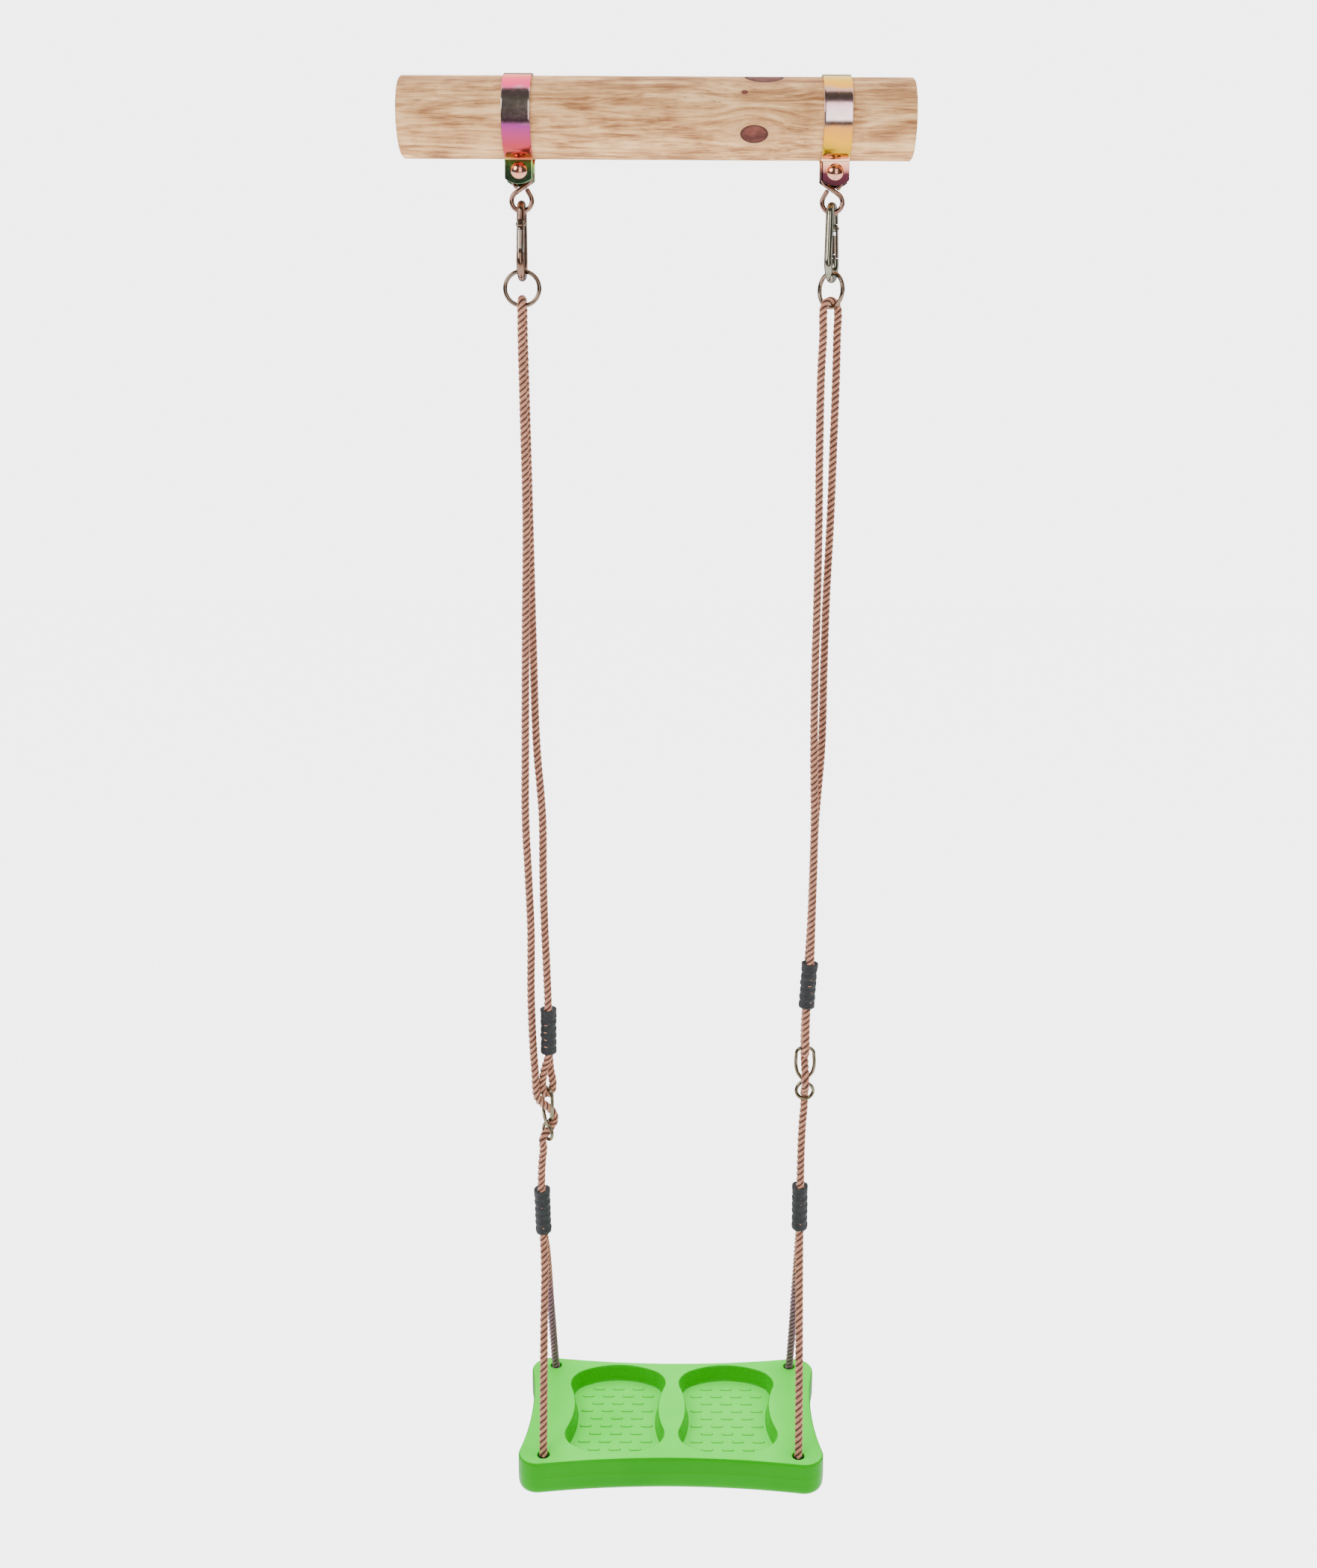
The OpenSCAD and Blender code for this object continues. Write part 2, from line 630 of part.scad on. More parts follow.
// Side view of the groove under the board, from hole to hole, as (Y, Z)
module groove_profile(grow) {
    z = groove_d + grow;
    y = hole_y + hole_d / 2 + grow;
    polygon([[-y, -1], [-y, z + 6], [-hole_y + 8, z + 6], [-hole_y + 16, z],
             [hole_y - 16, z], [hole_y - 8, z + 6], [y, z + 6], [y, -1]]);
}

module groove(side, grow) {
    translate([side * hole_x, 0, -board_t])
        rotate([90, 0, 90])
            linear_extrude(groove_w + 2 * grow, center = true) groove_profile(grow);
}

module rope_holes(grow) {
    for (x = [-1, 1], y = [-1, 1])
        translate([x * hole_x, y * hole_y, -board_t - 1])
            cylinder(d = hole_d + 2 * grow, h = board_t + 2);
}

// Inside of the hollow moulding: the board less its walls, wells, grooves and tubes
module board_hollow() {
    difference() {
        translate([0, 0, board_wall - board_t])
            linear_extrude(board_t - 2 * board_wall) polygon(board_outline(board_wall));
        for (x = [-1, 1])
            translate([x * well_x, well_y, -well_depth - board_wall])
                linear_extrude(board_t) polygon(well_outline(-board_wall));
        for (x = [-1, 1]) groove(x, board_wall);
        rope_holes(board_wall);
    }
}

module footboard() {
    edge = 4;
    color("limegreen")
        translate([0, 0, board_top]) {
            difference() {
                union() {
                    translate([0, 0, edge - board_t])
                        linear_extrude(board_t - edge - edge / 2) polygon(board_outline(0));
                    translate([0, 0, -board_t])
                        linear_extrude(board_t) polygon(board_outline(edge / 2));
                }
                for (x = [-1, 1])
                    translate([x * well_x, well_y, -well_depth])
                        linear_extrude(board_t) polygon(well_outline(0));
                for (x = [-1, 1]) groove(x, 0);
                rope_holes(0);
                board_hollow();
            }
            for (x = [-1, 1])
                translate([x * well_x, well_y, -well_depth - 0.5])
                    linear_extrude(bar_h + 0.5) grip_bars();
        }
}

// ---------- nodes ----------

beam();
clamp_strap(LEFT);  // clamp_strap_left
clamp_strap(RIGHT);  // clamp_strap_right
carriage_bolt(LEFT);  // carriage_bolt_left
carriage_bolt(RIGHT);  // carriage_bolt_right
washer(LEFT);  // washer_left
washer(RIGHT);  // washer_right
lock_nut(LEFT);  // lock_nut_left
lock_nut(RIGHT);  // lock_nut_right
s_hook(LEFT);  // s_hook_left
s_hook(RIGHT);  // s_hook_right
carabiner(LEFT);  // carabiner_left
carabiner(RIGHT);  // carabiner_right
gate(LEFT);  // gate_left
gate(RIGHT);  // gate_right
gate_rivet(LEFT);  // gate_rivet_left
gate_rivet(RIGHT);  // gate_rivet_right
gate_spring(LEFT);  // gate_spring_left
gate_spring(RIGHT);  // gate_spring_right
hanging_ring(LEFT);  // ring_left
hanging_ring(RIGHT);  // ring_right
rope(route_left);  // rope_left
rope(route_right);  // rope_right
rope(tail_left);  // rope_tail_left
rope(tail_right);  // rope_tail_right
rope_underrun(LEFT);  // rope_underrun_left
rope_underrun(RIGHT);  // rope_underrun_right
height_adjuster(adjuster_left, adjuster_left_yaw);  // height_adjuster_left
height_adjuster(adjuster_right, adjuster_right_yaw);  // height_adjuster_right
sleeve(-165, -1145, 0);  // upper_sleeve_left
sleeve(179.2, -1081, 3.6);  // upper_sleeve_right
sleeve(-174.6, -1394, -1.9);  // lower_sleeve_left
sleeve(170, -1387, 0);  // lower_sleeve_right
footboard();
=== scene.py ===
"""Stand-on swing: footboard, ropes, adjusters and links under a round pine beam."""

import math
import random

import bmesh
import bpy
import numpy as np
from mathutils import Matrix, Vector
from mathutils.geometry import delaunay_2d_cdt


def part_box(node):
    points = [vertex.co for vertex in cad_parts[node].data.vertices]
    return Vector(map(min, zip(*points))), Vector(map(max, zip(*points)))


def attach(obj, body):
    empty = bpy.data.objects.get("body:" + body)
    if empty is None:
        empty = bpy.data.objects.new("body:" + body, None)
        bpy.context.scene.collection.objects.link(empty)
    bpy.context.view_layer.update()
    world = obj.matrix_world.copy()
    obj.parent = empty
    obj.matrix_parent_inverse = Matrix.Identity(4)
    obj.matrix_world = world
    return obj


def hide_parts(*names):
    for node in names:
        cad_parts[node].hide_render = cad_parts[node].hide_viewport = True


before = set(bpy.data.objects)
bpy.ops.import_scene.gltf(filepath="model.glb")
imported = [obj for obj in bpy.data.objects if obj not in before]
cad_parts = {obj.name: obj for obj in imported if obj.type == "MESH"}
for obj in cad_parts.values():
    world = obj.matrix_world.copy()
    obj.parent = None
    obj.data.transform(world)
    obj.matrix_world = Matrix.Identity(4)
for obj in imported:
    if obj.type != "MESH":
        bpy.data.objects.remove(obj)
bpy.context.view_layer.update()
MM = 0.001
SIDES = (("left", -1), ("right", 1))


# ---- camera

CAMERA_AT = (0.0167, -2.0, -0.384)
CAMERA_PITCH = math.radians(90 - 6.06)
CAMERA_ROLL = math.radians(0.30)


def make_camera():
    data = bpy.data.cameras.new("camera")
    data.lens = 36
    data.sensor_width = 36
    data.shift_x = -0.019
    data.shift_y = -0.12
    data.clip_start = 0.05
    data.clip_end = 40
    camera = bpy.data.objects.new("camera", data)
    bpy.context.scene.collection.objects.link(camera)
    camera.matrix_world = (
        Matrix.Translation(CAMERA_AT)
        @ Matrix.Rotation(CAMERA_PITCH, 4, "X")
        @ Matrix.Rotation(CAMERA_ROLL, 4, "Z")
    )
    bpy.context.scene.camera = camera


make_camera()


# ---- routes

# The same points as in the CAD, in millimetres
CHAIN_X = 194
HOOK_R, HOOK_WIRE = 12.65, 6
HOOK_TOP_Z, HOOK_BOTTOM_Z = -70.8, -101.4
CARABINER_WIRE, CROWN_R, BELLY_R = 10, 13, 20
SWING_Z = HOOK_BOTTOM_Z - HOOK_R
CROWN_Z = SWING_Z + HOOK_WIRE / 2 + 0.5 + CARABINER_WIRE / 2 - CROWN_R
BELLY_Z = CROWN_Z + CROWN_R + CARABINER_WIRE - 100 + BELLY_R
SWAY_Z = BELLY_Z - BELLY_R
RING_WIRE, RING_R = 5.5, 21.5
RING_Z = SWAY_Z + CARABINER_WIRE / 2 + 0.35 + RING_WIRE / 2 - RING_R
RING_TURN = 53
ROPE_D = 10
BIGHT_R = 12
BIGHT_Z = RING_Z - RING_R + RING_WIRE / 2 + 0.3 + ROPE_D / 2 - BIGHT_R
ADJUSTER_WIRE = 4.6
EYE_R = (ADJUSTER_WIRE + ROPE_D) / 2 + 0.3
ADJUSTER = {"left": ((-166.5, 0, -1254.3), 35), "right": ((174.5, 0, -1196.3), -90)}
BOARD_TOP, BOARD_T = -1705, 43
HOLE_X, HOLE_Y, HOLE_R = 165, 98, 7.5
ROCK_Z = BOARD_TOP - 3
UNDER_START, UNDER_LIFT, UNDER_TURN = 3.5, 6.25, 12


def cos_sin(degrees):
    return math.cos(math.radians(degrees)), math.sin(math.radians(degrees))


def half_turn(centre, yaw, radius, way):
    """Half a turn round a level wire, from one side, over or under it, to the other."""
    points, steps = [], 8
    c, s = cos_sin(yaw)
    for i in range(steps + 1):
        a = math.pi * i / steps
        out = -math.cos(a) * radius
        points.append((centre[0] + out * c, centre[1] + out * s,
                       centre[2] + way * radius * math.sin(a)))
    return points


WEAVE = [(-18, 6), (-16.5, -6), (-12.5, -14), (-6.5, -20), (0, -26), (6, -32.5),
         (9.8, -40), (10.4, -46), (7, -52.5), (0, -59), (-6, -64.5), (-8.2, -70.5),
         (-7, -80)]


def woven(side):
    """Weave of the rope through an adjuster, from above its top bar to below its loop."""
    (x, y, z), yaw = ADJUSTER[side]
    c, s = cos_sin(yaw)
    return [(x + w * c, y + w * s, z + h) for w, h in WEAVE]


ROPE_LEFT = (
    [(-165, 5.1, -1150), (-165, 5.1, -1180), (-165, 5.1, -1208), (-163.5, 5.6, -1228)]
    + half_turn(ADJUSTER["left"][0], 35 + 180, EYE_R, -1)
    + [(-170.5, -5.4, -1228), (-165, -5.1, -1208), (-165, -5.1, -1175),
       (-165, -5.1, -1142), (-167, -4, -1085), (-169.5, -1, -1033), (-171.5, 2, -960),
       (-172, 4, -893), (-179.5, 7, -794), (-184, 9, -650), (-187.5, 10.5, -500),
       (-191.5, 11.5, -340), (-193.6, 12, -262)]
    + half_turn((-CHAIN_X, 0, BIGHT_Z), -90, BIGHT_R, 1)
    + [(-194, -12, -262), (-192.5, -11.5, -340), (-189.5, -10.5, -500),
       (-191.5, -8, -650), (-193, -5, -794), (-193.5, -3, -893), (-190.5, -3, -960),
       (-187.5, -3, -1033), (-187.5, -3, -1134), (-184.5, -7, -1200),
       (-182, -10, -1232)]
    + woven("left")
    + [(-173.8, -4.4, -1352), (-174.8, -5.1, -1388), (-174.6, -5.1, -1394),
       (-173, -5.1, -1442), (-172.6, -5.1, -1454), (-172.1, -6.8, -1464),
       (-170.8, -12, -1480), (-168.6, -46, -1571), (-166.4, -80, -1662),
       (-165.4, -95.6, -1701.5), (-165, -98, -1708)]
)
ROPE_RIGHT = (
    [(178.9, 5.1, -1086), (176.9, 5.1, -1118), (175.3, 5.1, -1143), (174.6, 6, -1166)]
    + half_turn(ADJUSTER["right"][0], -90, EYE_R, -1)
    + [(174.6, -6, -1166), (175.3, -5.1, -1143), (177.2, -5.1, -1113),
       (179.2, -5.1, -1081), (180, -5.4, -1041), (182, -6, -891), (180, -7, -792),
       (180, -7.5, -694), (181.5, -7.5, -597), (182.2, -7.4, -501),
       (181.8, -7.3, -406), (182.6, -7.2, -312), (184.4, -7.2, -262)]
    + half_turn((CHAIN_X, 0, BIGHT_Z), 90 - RING_TURN, BIGHT_R, 1)
    + [(203.2, 7.2, -262), (202.8, 7.6, -312), (200.6, 8, -406), (198.2, 8.5, -501),
       (194.5, 9, -597), (192.6, 9.6, -694), (191.4, 10.4, -792), (185, 13, -891),
       (180.5, 16.6, -1041), (178.5, 17, -1081), (176, 17.2, -1141),
       (174.8, 17.8, -1172)]
    + woven("right")
    + [(172.4, 3, -1300), (170.4, -3, -1345), (170, -5.1, -1380), (170, -5.1, -1387),
       (170, -5.1, -1435), (170, -5.1, -1447), (169.9, -6.8, -1457),
       (169.6, -12, -1474), (168, -46, -1567), (166.4, -80, -1660),
       (165.3, -95.6, -1701.5), (165, -98, -1708)]
)
TAIL_LEFT = [(-174.4, 5.1, -1400), (-173, 5.1, -1442), (-172.6, 5.1, -1454),
             (-172.1, 6.8, -1464), (-170.8, 12, -1480), (-168.6, 46, -1571),
             (-166.4, 80, -1662), (-165.4, 95.6, -1701.5), (-165, 98, -1708)]
TAIL_RIGHT = [(170, 5.1, -1393), (170, 5.1, -1435), (170, 5.1, -1447),
              (169.9, 6.8, -1457), (169.6, 12, -1474), (168, 46, -1567),
              (166.4, 80, -1660), (165.3, 95.6, -1701.5), (165, 98, -1708)]


def underrun_route(sign):
    """From the front hole down, along the groove under the board and up the rear hole."""
    low, turn = BOARD_TOP - BOARD_T + UNDER_LIFT, UNDER_TURN
    half = [(sign * HOLE_X, -HOLE_Y, ROCK_Z - UNDER_START),
            (sign * HOLE_X, -HOLE_Y, low + turn)]
    for i in range(1, 13):
        a = math.pi / 2 * i / 12
        half.append((sign * HOLE_X, -HOLE_Y + turn * (1 - math.cos(a)),
                     low + turn * (1 - math.sin(a))))
    return half + [(x, -y, z) for x, y, z in reversed(half)]


def smooth_route(points, step):
    """Points no further apart than step on the smooth curve through points."""
    p = [Vector(q) for q in points]
    last = len(p) - 1

    def slope(i):
        if i == 0:
            return (p[1] - p[0]).normalized()
        if i == last:
            return (p[last] - p[last - 1]).normalized()
        before, after = p[i] - p[i - 1], p[i + 1] - p[i]
        a, b = before.length, after.length
        return (before * (b / a) + after * (a / b)) / (a + b)

    out = []
    for i in range(last):
        d = (p[i + 1] - p[i]).length
        m0, m1 = slope(i) * d, slope(i + 1) * d
        steps = max(1, math.ceil(d / step))
        for k in range(steps):
            t = k / steps
            t2, t3 = t * t, t * t * t
            out.append((2 * t3 - 3 * t2 + 1) * p[i] + (t3 - 2 * t2 + t) * m0
                       + (3 * t2 - 2 * t3) * p[i + 1] + (t3 - t2) * m1)
    out.append(p[last])
    return out


def unit(rows):
    return rows / np.linalg.norm(rows, axis=1)[:, None]


def length_along(points):
    """How far along the line each of its points is."""
    steps = np.linalg.norm(np.diff(points, axis=0), axis=1)
    return np.concatenate([[0], np.cumsum(steps)])


def evenly(points, step):
    """The same line with points at an even spacing of about step."""
    p = np.array([tuple(q) for q in points])
    along = length_along(p)
    count = max(2, int(round(along[-1] / step)) + 1)
    at = np.linspace(0, along[-1], count)
    return np.stack([np.interp(at, along, p[:, k]) for k in range(3)], axis=1), at


def frames_along(points, closed=False):
    """Tangents and two normals at each point, turning as little as they can."""
    p = np.asarray(points)
    tangents = unit(np.roll(p, -1, axis=0) - np.roll(p, 1, axis=0) if closed
                    else np.gradient(p, axis=0))
    first = np.array([1.0, 0, 0]) if abs(tangents[0][0]) < 0.9 else np.array([0, 0, 1.0])
    normals = np.zeros_like(p)
    n = first - tangents[0] * first.dot(tangents[0])
    normals[0] = n / np.linalg.norm(n)
    for i in range(1, len(p)):
        n = normals[i - 1] - tangents[i] * normals[i - 1].dot(tangents[i])
        normals[i] = n / np.linalg.norm(n)
    if closed:
        end = normals[-1] - tangents[0] * normals[-1].dot(tangents[0])
        end /= np.linalg.norm(end)
        twist = math.atan2(np.cross(end, normals[0]).dot(tangents[0]), end.dot(normals[0]))
        for i in range(len(p)):
            a = twist * i / len(p)
            side = np.cross(tangents[i], normals[i])
            normals[i] = normals[i] * math.cos(a) + side * math.sin(a)
    return tangents, normals, np.cross(tangents, normals)


# ---- mesh making

def add_piece(name, mesh, material, body):
    """The mesh as a new piece that rides on body."""
    mesh.materials.append(material)
    piece = bpy.data.objects.new(name, mesh)
    bpy.context.scene.collection.objects.link(piece)
    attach(piece, body)
    return piece


def add_mesh(name, vertices, faces, material, body, uvs=None):
    """A new piece that rides on body. uvs holds one (u, v) for each corner of each face."""
    mesh = bpy.data.meshes.new(name)
    mesh.from_pydata([tuple(v) for v in vertices], [], faces)
    if uvs is not None:
        layer = mesh.uv_layers.new(name="UVMap")
        layer.data.foreach_set("uv", np.asarray(uvs, dtype=np.float32).ravel())
    mesh.polygons.foreach_set("use_smooth", [True] * len(mesh.polygons))
    mesh.update()
    return add_piece(name, mesh, material, body)


def circles(angles, a, b):
    """For each pair of normals a and b, the unit circle that they span."""
    return (np.cos(angles)[None, :, None] * a[:, None, :]
            + np.sin(angles)[None, :, None] * b[:, None, :])


def round_faces(rows, sides, closed=False):
    """Faces between rings of vertices, and from the last ring to the first if closed."""
    faces = []
    for i in range(rows if closed else rows - 1):
        j = (i + 1) % rows
        for k in range(sides):
            m = (k + 1) % sides
            faces.append((i * sides + k, i * sides + m, j * sides + m, j * sides + k))
    return faces


def tube(points, radius, sides, closed=False, taper=0):
    """Vertices and faces of a wire of that radius, in the points' units.
    taper rounds off the ends of an open wire over so many of its points."""
    tangents, n, b = frames_along(points, closed)
    count = len(points)
    angles = 2 * math.pi * np.arange(sides) / sides
    scale = np.ones(count)
    for i in range(taper):
        inward = math.sqrt(max(0.0, 1 - ((taper - i) / (taper + 0.3)) ** 2))
        scale[i] = scale[count - 1 - i] = inward
    circle = circles(angles, n, b)
    vertices = np.asarray(points)[:, None, :] + radius * scale[:, None, None] * circle
    faces = round_faces(count, sides, closed)
    if not closed:
        faces.append(tuple(range(sides))[::-1])
        faces.append(tuple((count - 1) * sides + k for k in range(sides)))
    return vertices.reshape(-1, 3), faces


def arc_points(centre, radius, start, end, steps):
    """Points of an arc in a plane (u, v), angles in degrees."""
    turns = [cos_sin(start + (end - start) * i / steps) for i in range(steps + 1)]
    return [(centre[0] + radius * c, centre[1] + radius * s) for c, s in turns]


def wire(name, points, diameter, material, body, sides=16, closed=False, taper=0):
    """A bent wire as a piece, its points in millimetres."""
    vertices, faces = tube(np.array([tuple(p) for p in points]) * MM,
                           diameter / 2 * MM, sides, closed, taper)
    return add_mesh(name, vertices, faces, material, body)


# ---- materials

def new_material(name):
    material = bpy.data.materials.new(name)
    material.use_nodes = True
    return material


class Nodes:
    """Short names for the nodes that the materials share."""

    def __init__(self, tree):
        self.tree = tree
        self.shader = tree.nodes.get("Principled BSDF")

    def make(self, kind, **settings):
        node = self.tree.nodes.new(kind)
        for key, value in settings.items():
            setattr(node, key, value)
        return node

    def link(self, a, b):
        self.tree.links.new(a, b)

    def scaled(self, vector, scale):
        mapping = self.make("ShaderNodeMapping")
        mapping.inputs["Scale"].default_value = scale
        self.link(vector, mapping.inputs["Vector"])
        return mapping.outputs["Vector"]

    def coordinates(self, scale=(1, 1, 1), source="Object"):
        return self.scaled(self.make("ShaderNodeTexCoord").outputs[source], scale)

    def noise(self, vector, scale, detail=3, roughness=0.55, distortion=0):
        node = self.make("ShaderNodeTexNoise")
        node.inputs["Scale"].default_value = scale
        node.inputs["Detail"].default_value = detail
        node.inputs["Roughness"].default_value = roughness
        node.inputs["Distortion"].default_value = distortion
        self.link(vector, node.inputs["Vector"])
        return node.outputs["Fac"]

    def ramp(self, value, stops):
        node = self.make("ShaderNodeValToRGB")
        elements = node.color_ramp.elements
        while len(elements) < len(stops):
            elements.new(0.5)
        for element, (position, colour) in zip(elements, stops):
            element.position = position
            element.color = (*colour, 1)
        self.link(value, node.inputs["Fac"])
        return node.outputs["Color"]

    def mix(self, fac, a, b):
        node = self.make("ShaderNodeMix", data_type="RGBA")
        for socket, value in ((node.inputs[0], fac), (node.inputs[6], a), (node.inputs[7], b)):
            if isinstance(value, bpy.types.NodeSocket):
                self.link(value, socket)
            elif isinstance(value, (int, float)):
                socket.default_value = value
            else:
                socket.default_value = (*value, 1)
        return node.outputs[2]

    def math(self, operation, a, b=None):
        node = self.make("ShaderNodeMath", operation=operation)
        for socket, value in zip(node.inputs, (a, b)):
            if isinstance(value, bpy.types.NodeSocket):
                self.link(value, socket)
            elif value is not None:
                socket.default_value = value
        return node.outputs[0]

    def add(self, first, *others):
        for value in others:
            first = self.math("ADD", first, value)
        return first

    def times(self, a, b):
        return self.math("MULTIPLY", a, b)

    def minus(self, a, b):
        return self.math("SUBTRACT", a, b)

    def span(self, value, low, high, to_low=0.0, to_high=1.0, smooth=False):
        node = self.make("ShaderNodeMapRange")
        node.interpolation_type = "SMOOTHSTEP" if smooth else "LINEAR"
        self.link(value, node.inputs["Value"])
        for key, number in (("From Min", low), ("From Max", high),
                            ("To Min", to_low), ("To Max", to_high)):
            node.inputs[key].default_value = number
        return node.outputs["Result"]

    def xyz(self, vector):
        node = self.make("ShaderNodeSeparateXYZ")
        self.link(vector, node.inputs[0])
        return node.outputs

    def bump(self, height, strength, distance):
        node = self.make("ShaderNodeBump")
        node.inputs["Strength"].default_value = strength
        node.inputs["Distance"].default_value = distance
        self.link(height, node.inputs["Height"])
        self.link(node.outputs["Normal"], self.shader.inputs["Normal"])

    def colour(self, value):
        self.link(value, self.shader.inputs["Base Color"])

    def roughness(self, value):
        self.link(value, self.shader.inputs["Roughness"])

    def set(self, **values):
        for key, value in values.items():
            self.shader.inputs[key.replace("_", " ")].default_value = value


YARNS, YARN_LAY = 6, 0.021
FULL_TURN = 2 * math.pi


def rope_material(name, glint, light, mid, dark, painted_shade=None):
    """Twisted yarns, with a painted highlight on top of each strand and painted shade in
    its creases. The UV map's u is round a strand and its v is along it, in metres. The
    last argument holds the heights between which the rope turns darker as painted shade,
    and the light, middle and dark colour of the shaded rope."""
    material = new_material(name)
    n = Nodes(material.node_tree)
    uv = n.xyz(n.coordinates(source="UV"))
    round_strand = n.minus(uv[0], n.times(uv[1], 1 / YARN_LAY))
    yarn = n.math("SINE", n.times(round_strand, FULL_TURN * YARNS))
    # painted highlight on the crown of each strand and painted shade in the creases between
    # strands
    crown_shading = n.math("COSINE", n.times(uv[0], FULL_TURN))
    crown_shading = n.span(crown_shading, 0.20, 0.98, smooth=True)
    fine = n.noise(n.coordinates((1, 1, 0.35)), 900, 3)
    blotch = n.noise(n.coordinates(), 90, 2)
    shade = n.add(n.times(crown_shading, 0.52), n.times(yarn, 0.08), n.times(fine, 0.42),
                  n.times(blotch, 0.24))
    colour = n.ramp(shade, ((0.26, dark), (0.52, mid), (0.80, light), (1.0, glint)))
    # painted shade: the rope turns darker between the given heights, towards its lower end
    if painted_shade:
        above, below, shaded_light, shaded_mid, shaded_dark = painted_shade
        shade_mask = n.span(n.xyz(n.coordinates())[2], above, below, smooth=True)
        shaded_colour = n.ramp(shade, ((0.15, shaded_dark), (0.5, shaded_mid), (0.85, shaded_light)))
        colour = n.mix(shade_mask, colour, shaded_colour)
    n.colour(colour)
    n.set(Roughness=0.72, Sheen_Weight=0.25, Sheen_Roughness=0.5, Specular_IOR_Level=0.3)
    n.bump(n.add(n.times(yarn, 0.5), n.times(fine, 0.8)), 0.6, 0.0005)
    return material


METAL_GRAIN = 220


def metal_material(name, stops, roughness, tint_scale=30.0, axis=None):
    """Zinc plate: stops are its tints, spread by soft noise, or by height along axis,
    which holds the lowest and highest z and how far the noise shifts the tints.
    Colours spread by height are partly the plate's tints and partly painted reflection."""
    material = new_material(name)
    n = Nodes(material.node_tree)
    vector = n.coordinates()
    tint = n.noise(vector, tint_scale, 2, 0.5, 0.6)
    if axis is not None:
        low, high, wander = axis
        height = n.span(n.xyz(n.coordinates())[2], low, high)
        tint = n.add(height, n.times(n.minus(tint, 0.5), wander))
    n.colour(n.ramp(tint, stops))
    fine = n.noise(vector, METAL_GRAIN, 4, 0.6)
    n.roughness(n.span(fine, 0.3, 0.7, roughness * 0.75, roughness * 1.3))
    n.set(Metallic=1.0)
    n.bump(fine, 0.04, 0.0006)
    return material


def board_material():
    """Glossy blow-moulded polyethylene with a faint orange peel."""
    material = new_material("board_plastic")
    n = Nodes(material.node_tree)
    vector = n.coordinates()
    cloud = n.noise(vector, 9, 2)
    peel = n.noise(vector, 420, 2, 0.5)
    speck = n.noise(vector, 900, 4, 0.7)
    # level faces paler than the sides: painted light and reflection from above
    level = n.xyz(n.coordinates(source="Normal"))[2]
    level = n.span(n.add(level, n.times(cloud, 0.1)), 0.75, 1.0, smooth=True)
    deep = n.ramp(cloud, ((0.3, (0.010, 0.34, 0.0004)), (0.7, (0.015, 0.40, 0.0007))))
    pale = n.ramp(n.add(cloud, n.times(speck, 0.2)),
                  ((0.4, (0.048, 0.84, 0.026)), (0.8, (0.095, 0.93, 0.055))))
    # a little deeper green towards the outer lobes: painted shade
    lobe_shade = n.math("ABSOLUTE", n.xyz(vector)[0])
    lobe_shade = n.span(lobe_shade, 0.122, 0.165, 0.0, 0.30, smooth=True)
    n.colour(n.mix(level, deep, n.mix(lobe_shade, pale, deep)))
    n.roughness(n.span(speck, 0.35, 0.65, 0.18, 0.28))
    n.set(IOR=1.45, Specular_IOR_Level=0.09)
    n.bump(peel, 0.05, 0.0008)
    return material


def sleeve_material():
    """Charcoal shrink tube, matt, with folds, pits and a few pale specks."""
    material = new_material("sleeve_rubber")
    n = Nodes(material.node_tree)
    vector = n.coordinates((1, 1, 2.2))
    rough = n.noise(vector, 330, 4, 0.65)
    folds = n.noise(n.coordinates((1, 1, 3)), 90, 3, 0.6, 0.8)
    n.colour(n.ramp(rough, ((0.3, (0.005, 0.006, 0.007)), (0.60, (0.016, 0.018, 0.021)),
                            (0.74, (0.10, 0.105, 0.11)))))
    n.set(Specular_IOR_Level=0.35)
    n.roughness(n.span(rough, 0.3, 0.7, 0.42, 0.68))
    n.bump(n.add(folds, n.times(rough, 0.4)), 0.65, 0.0016)
    return material


PITH_Y, PITH_Z, YEAR = 0.007, -0.010, 0.0038


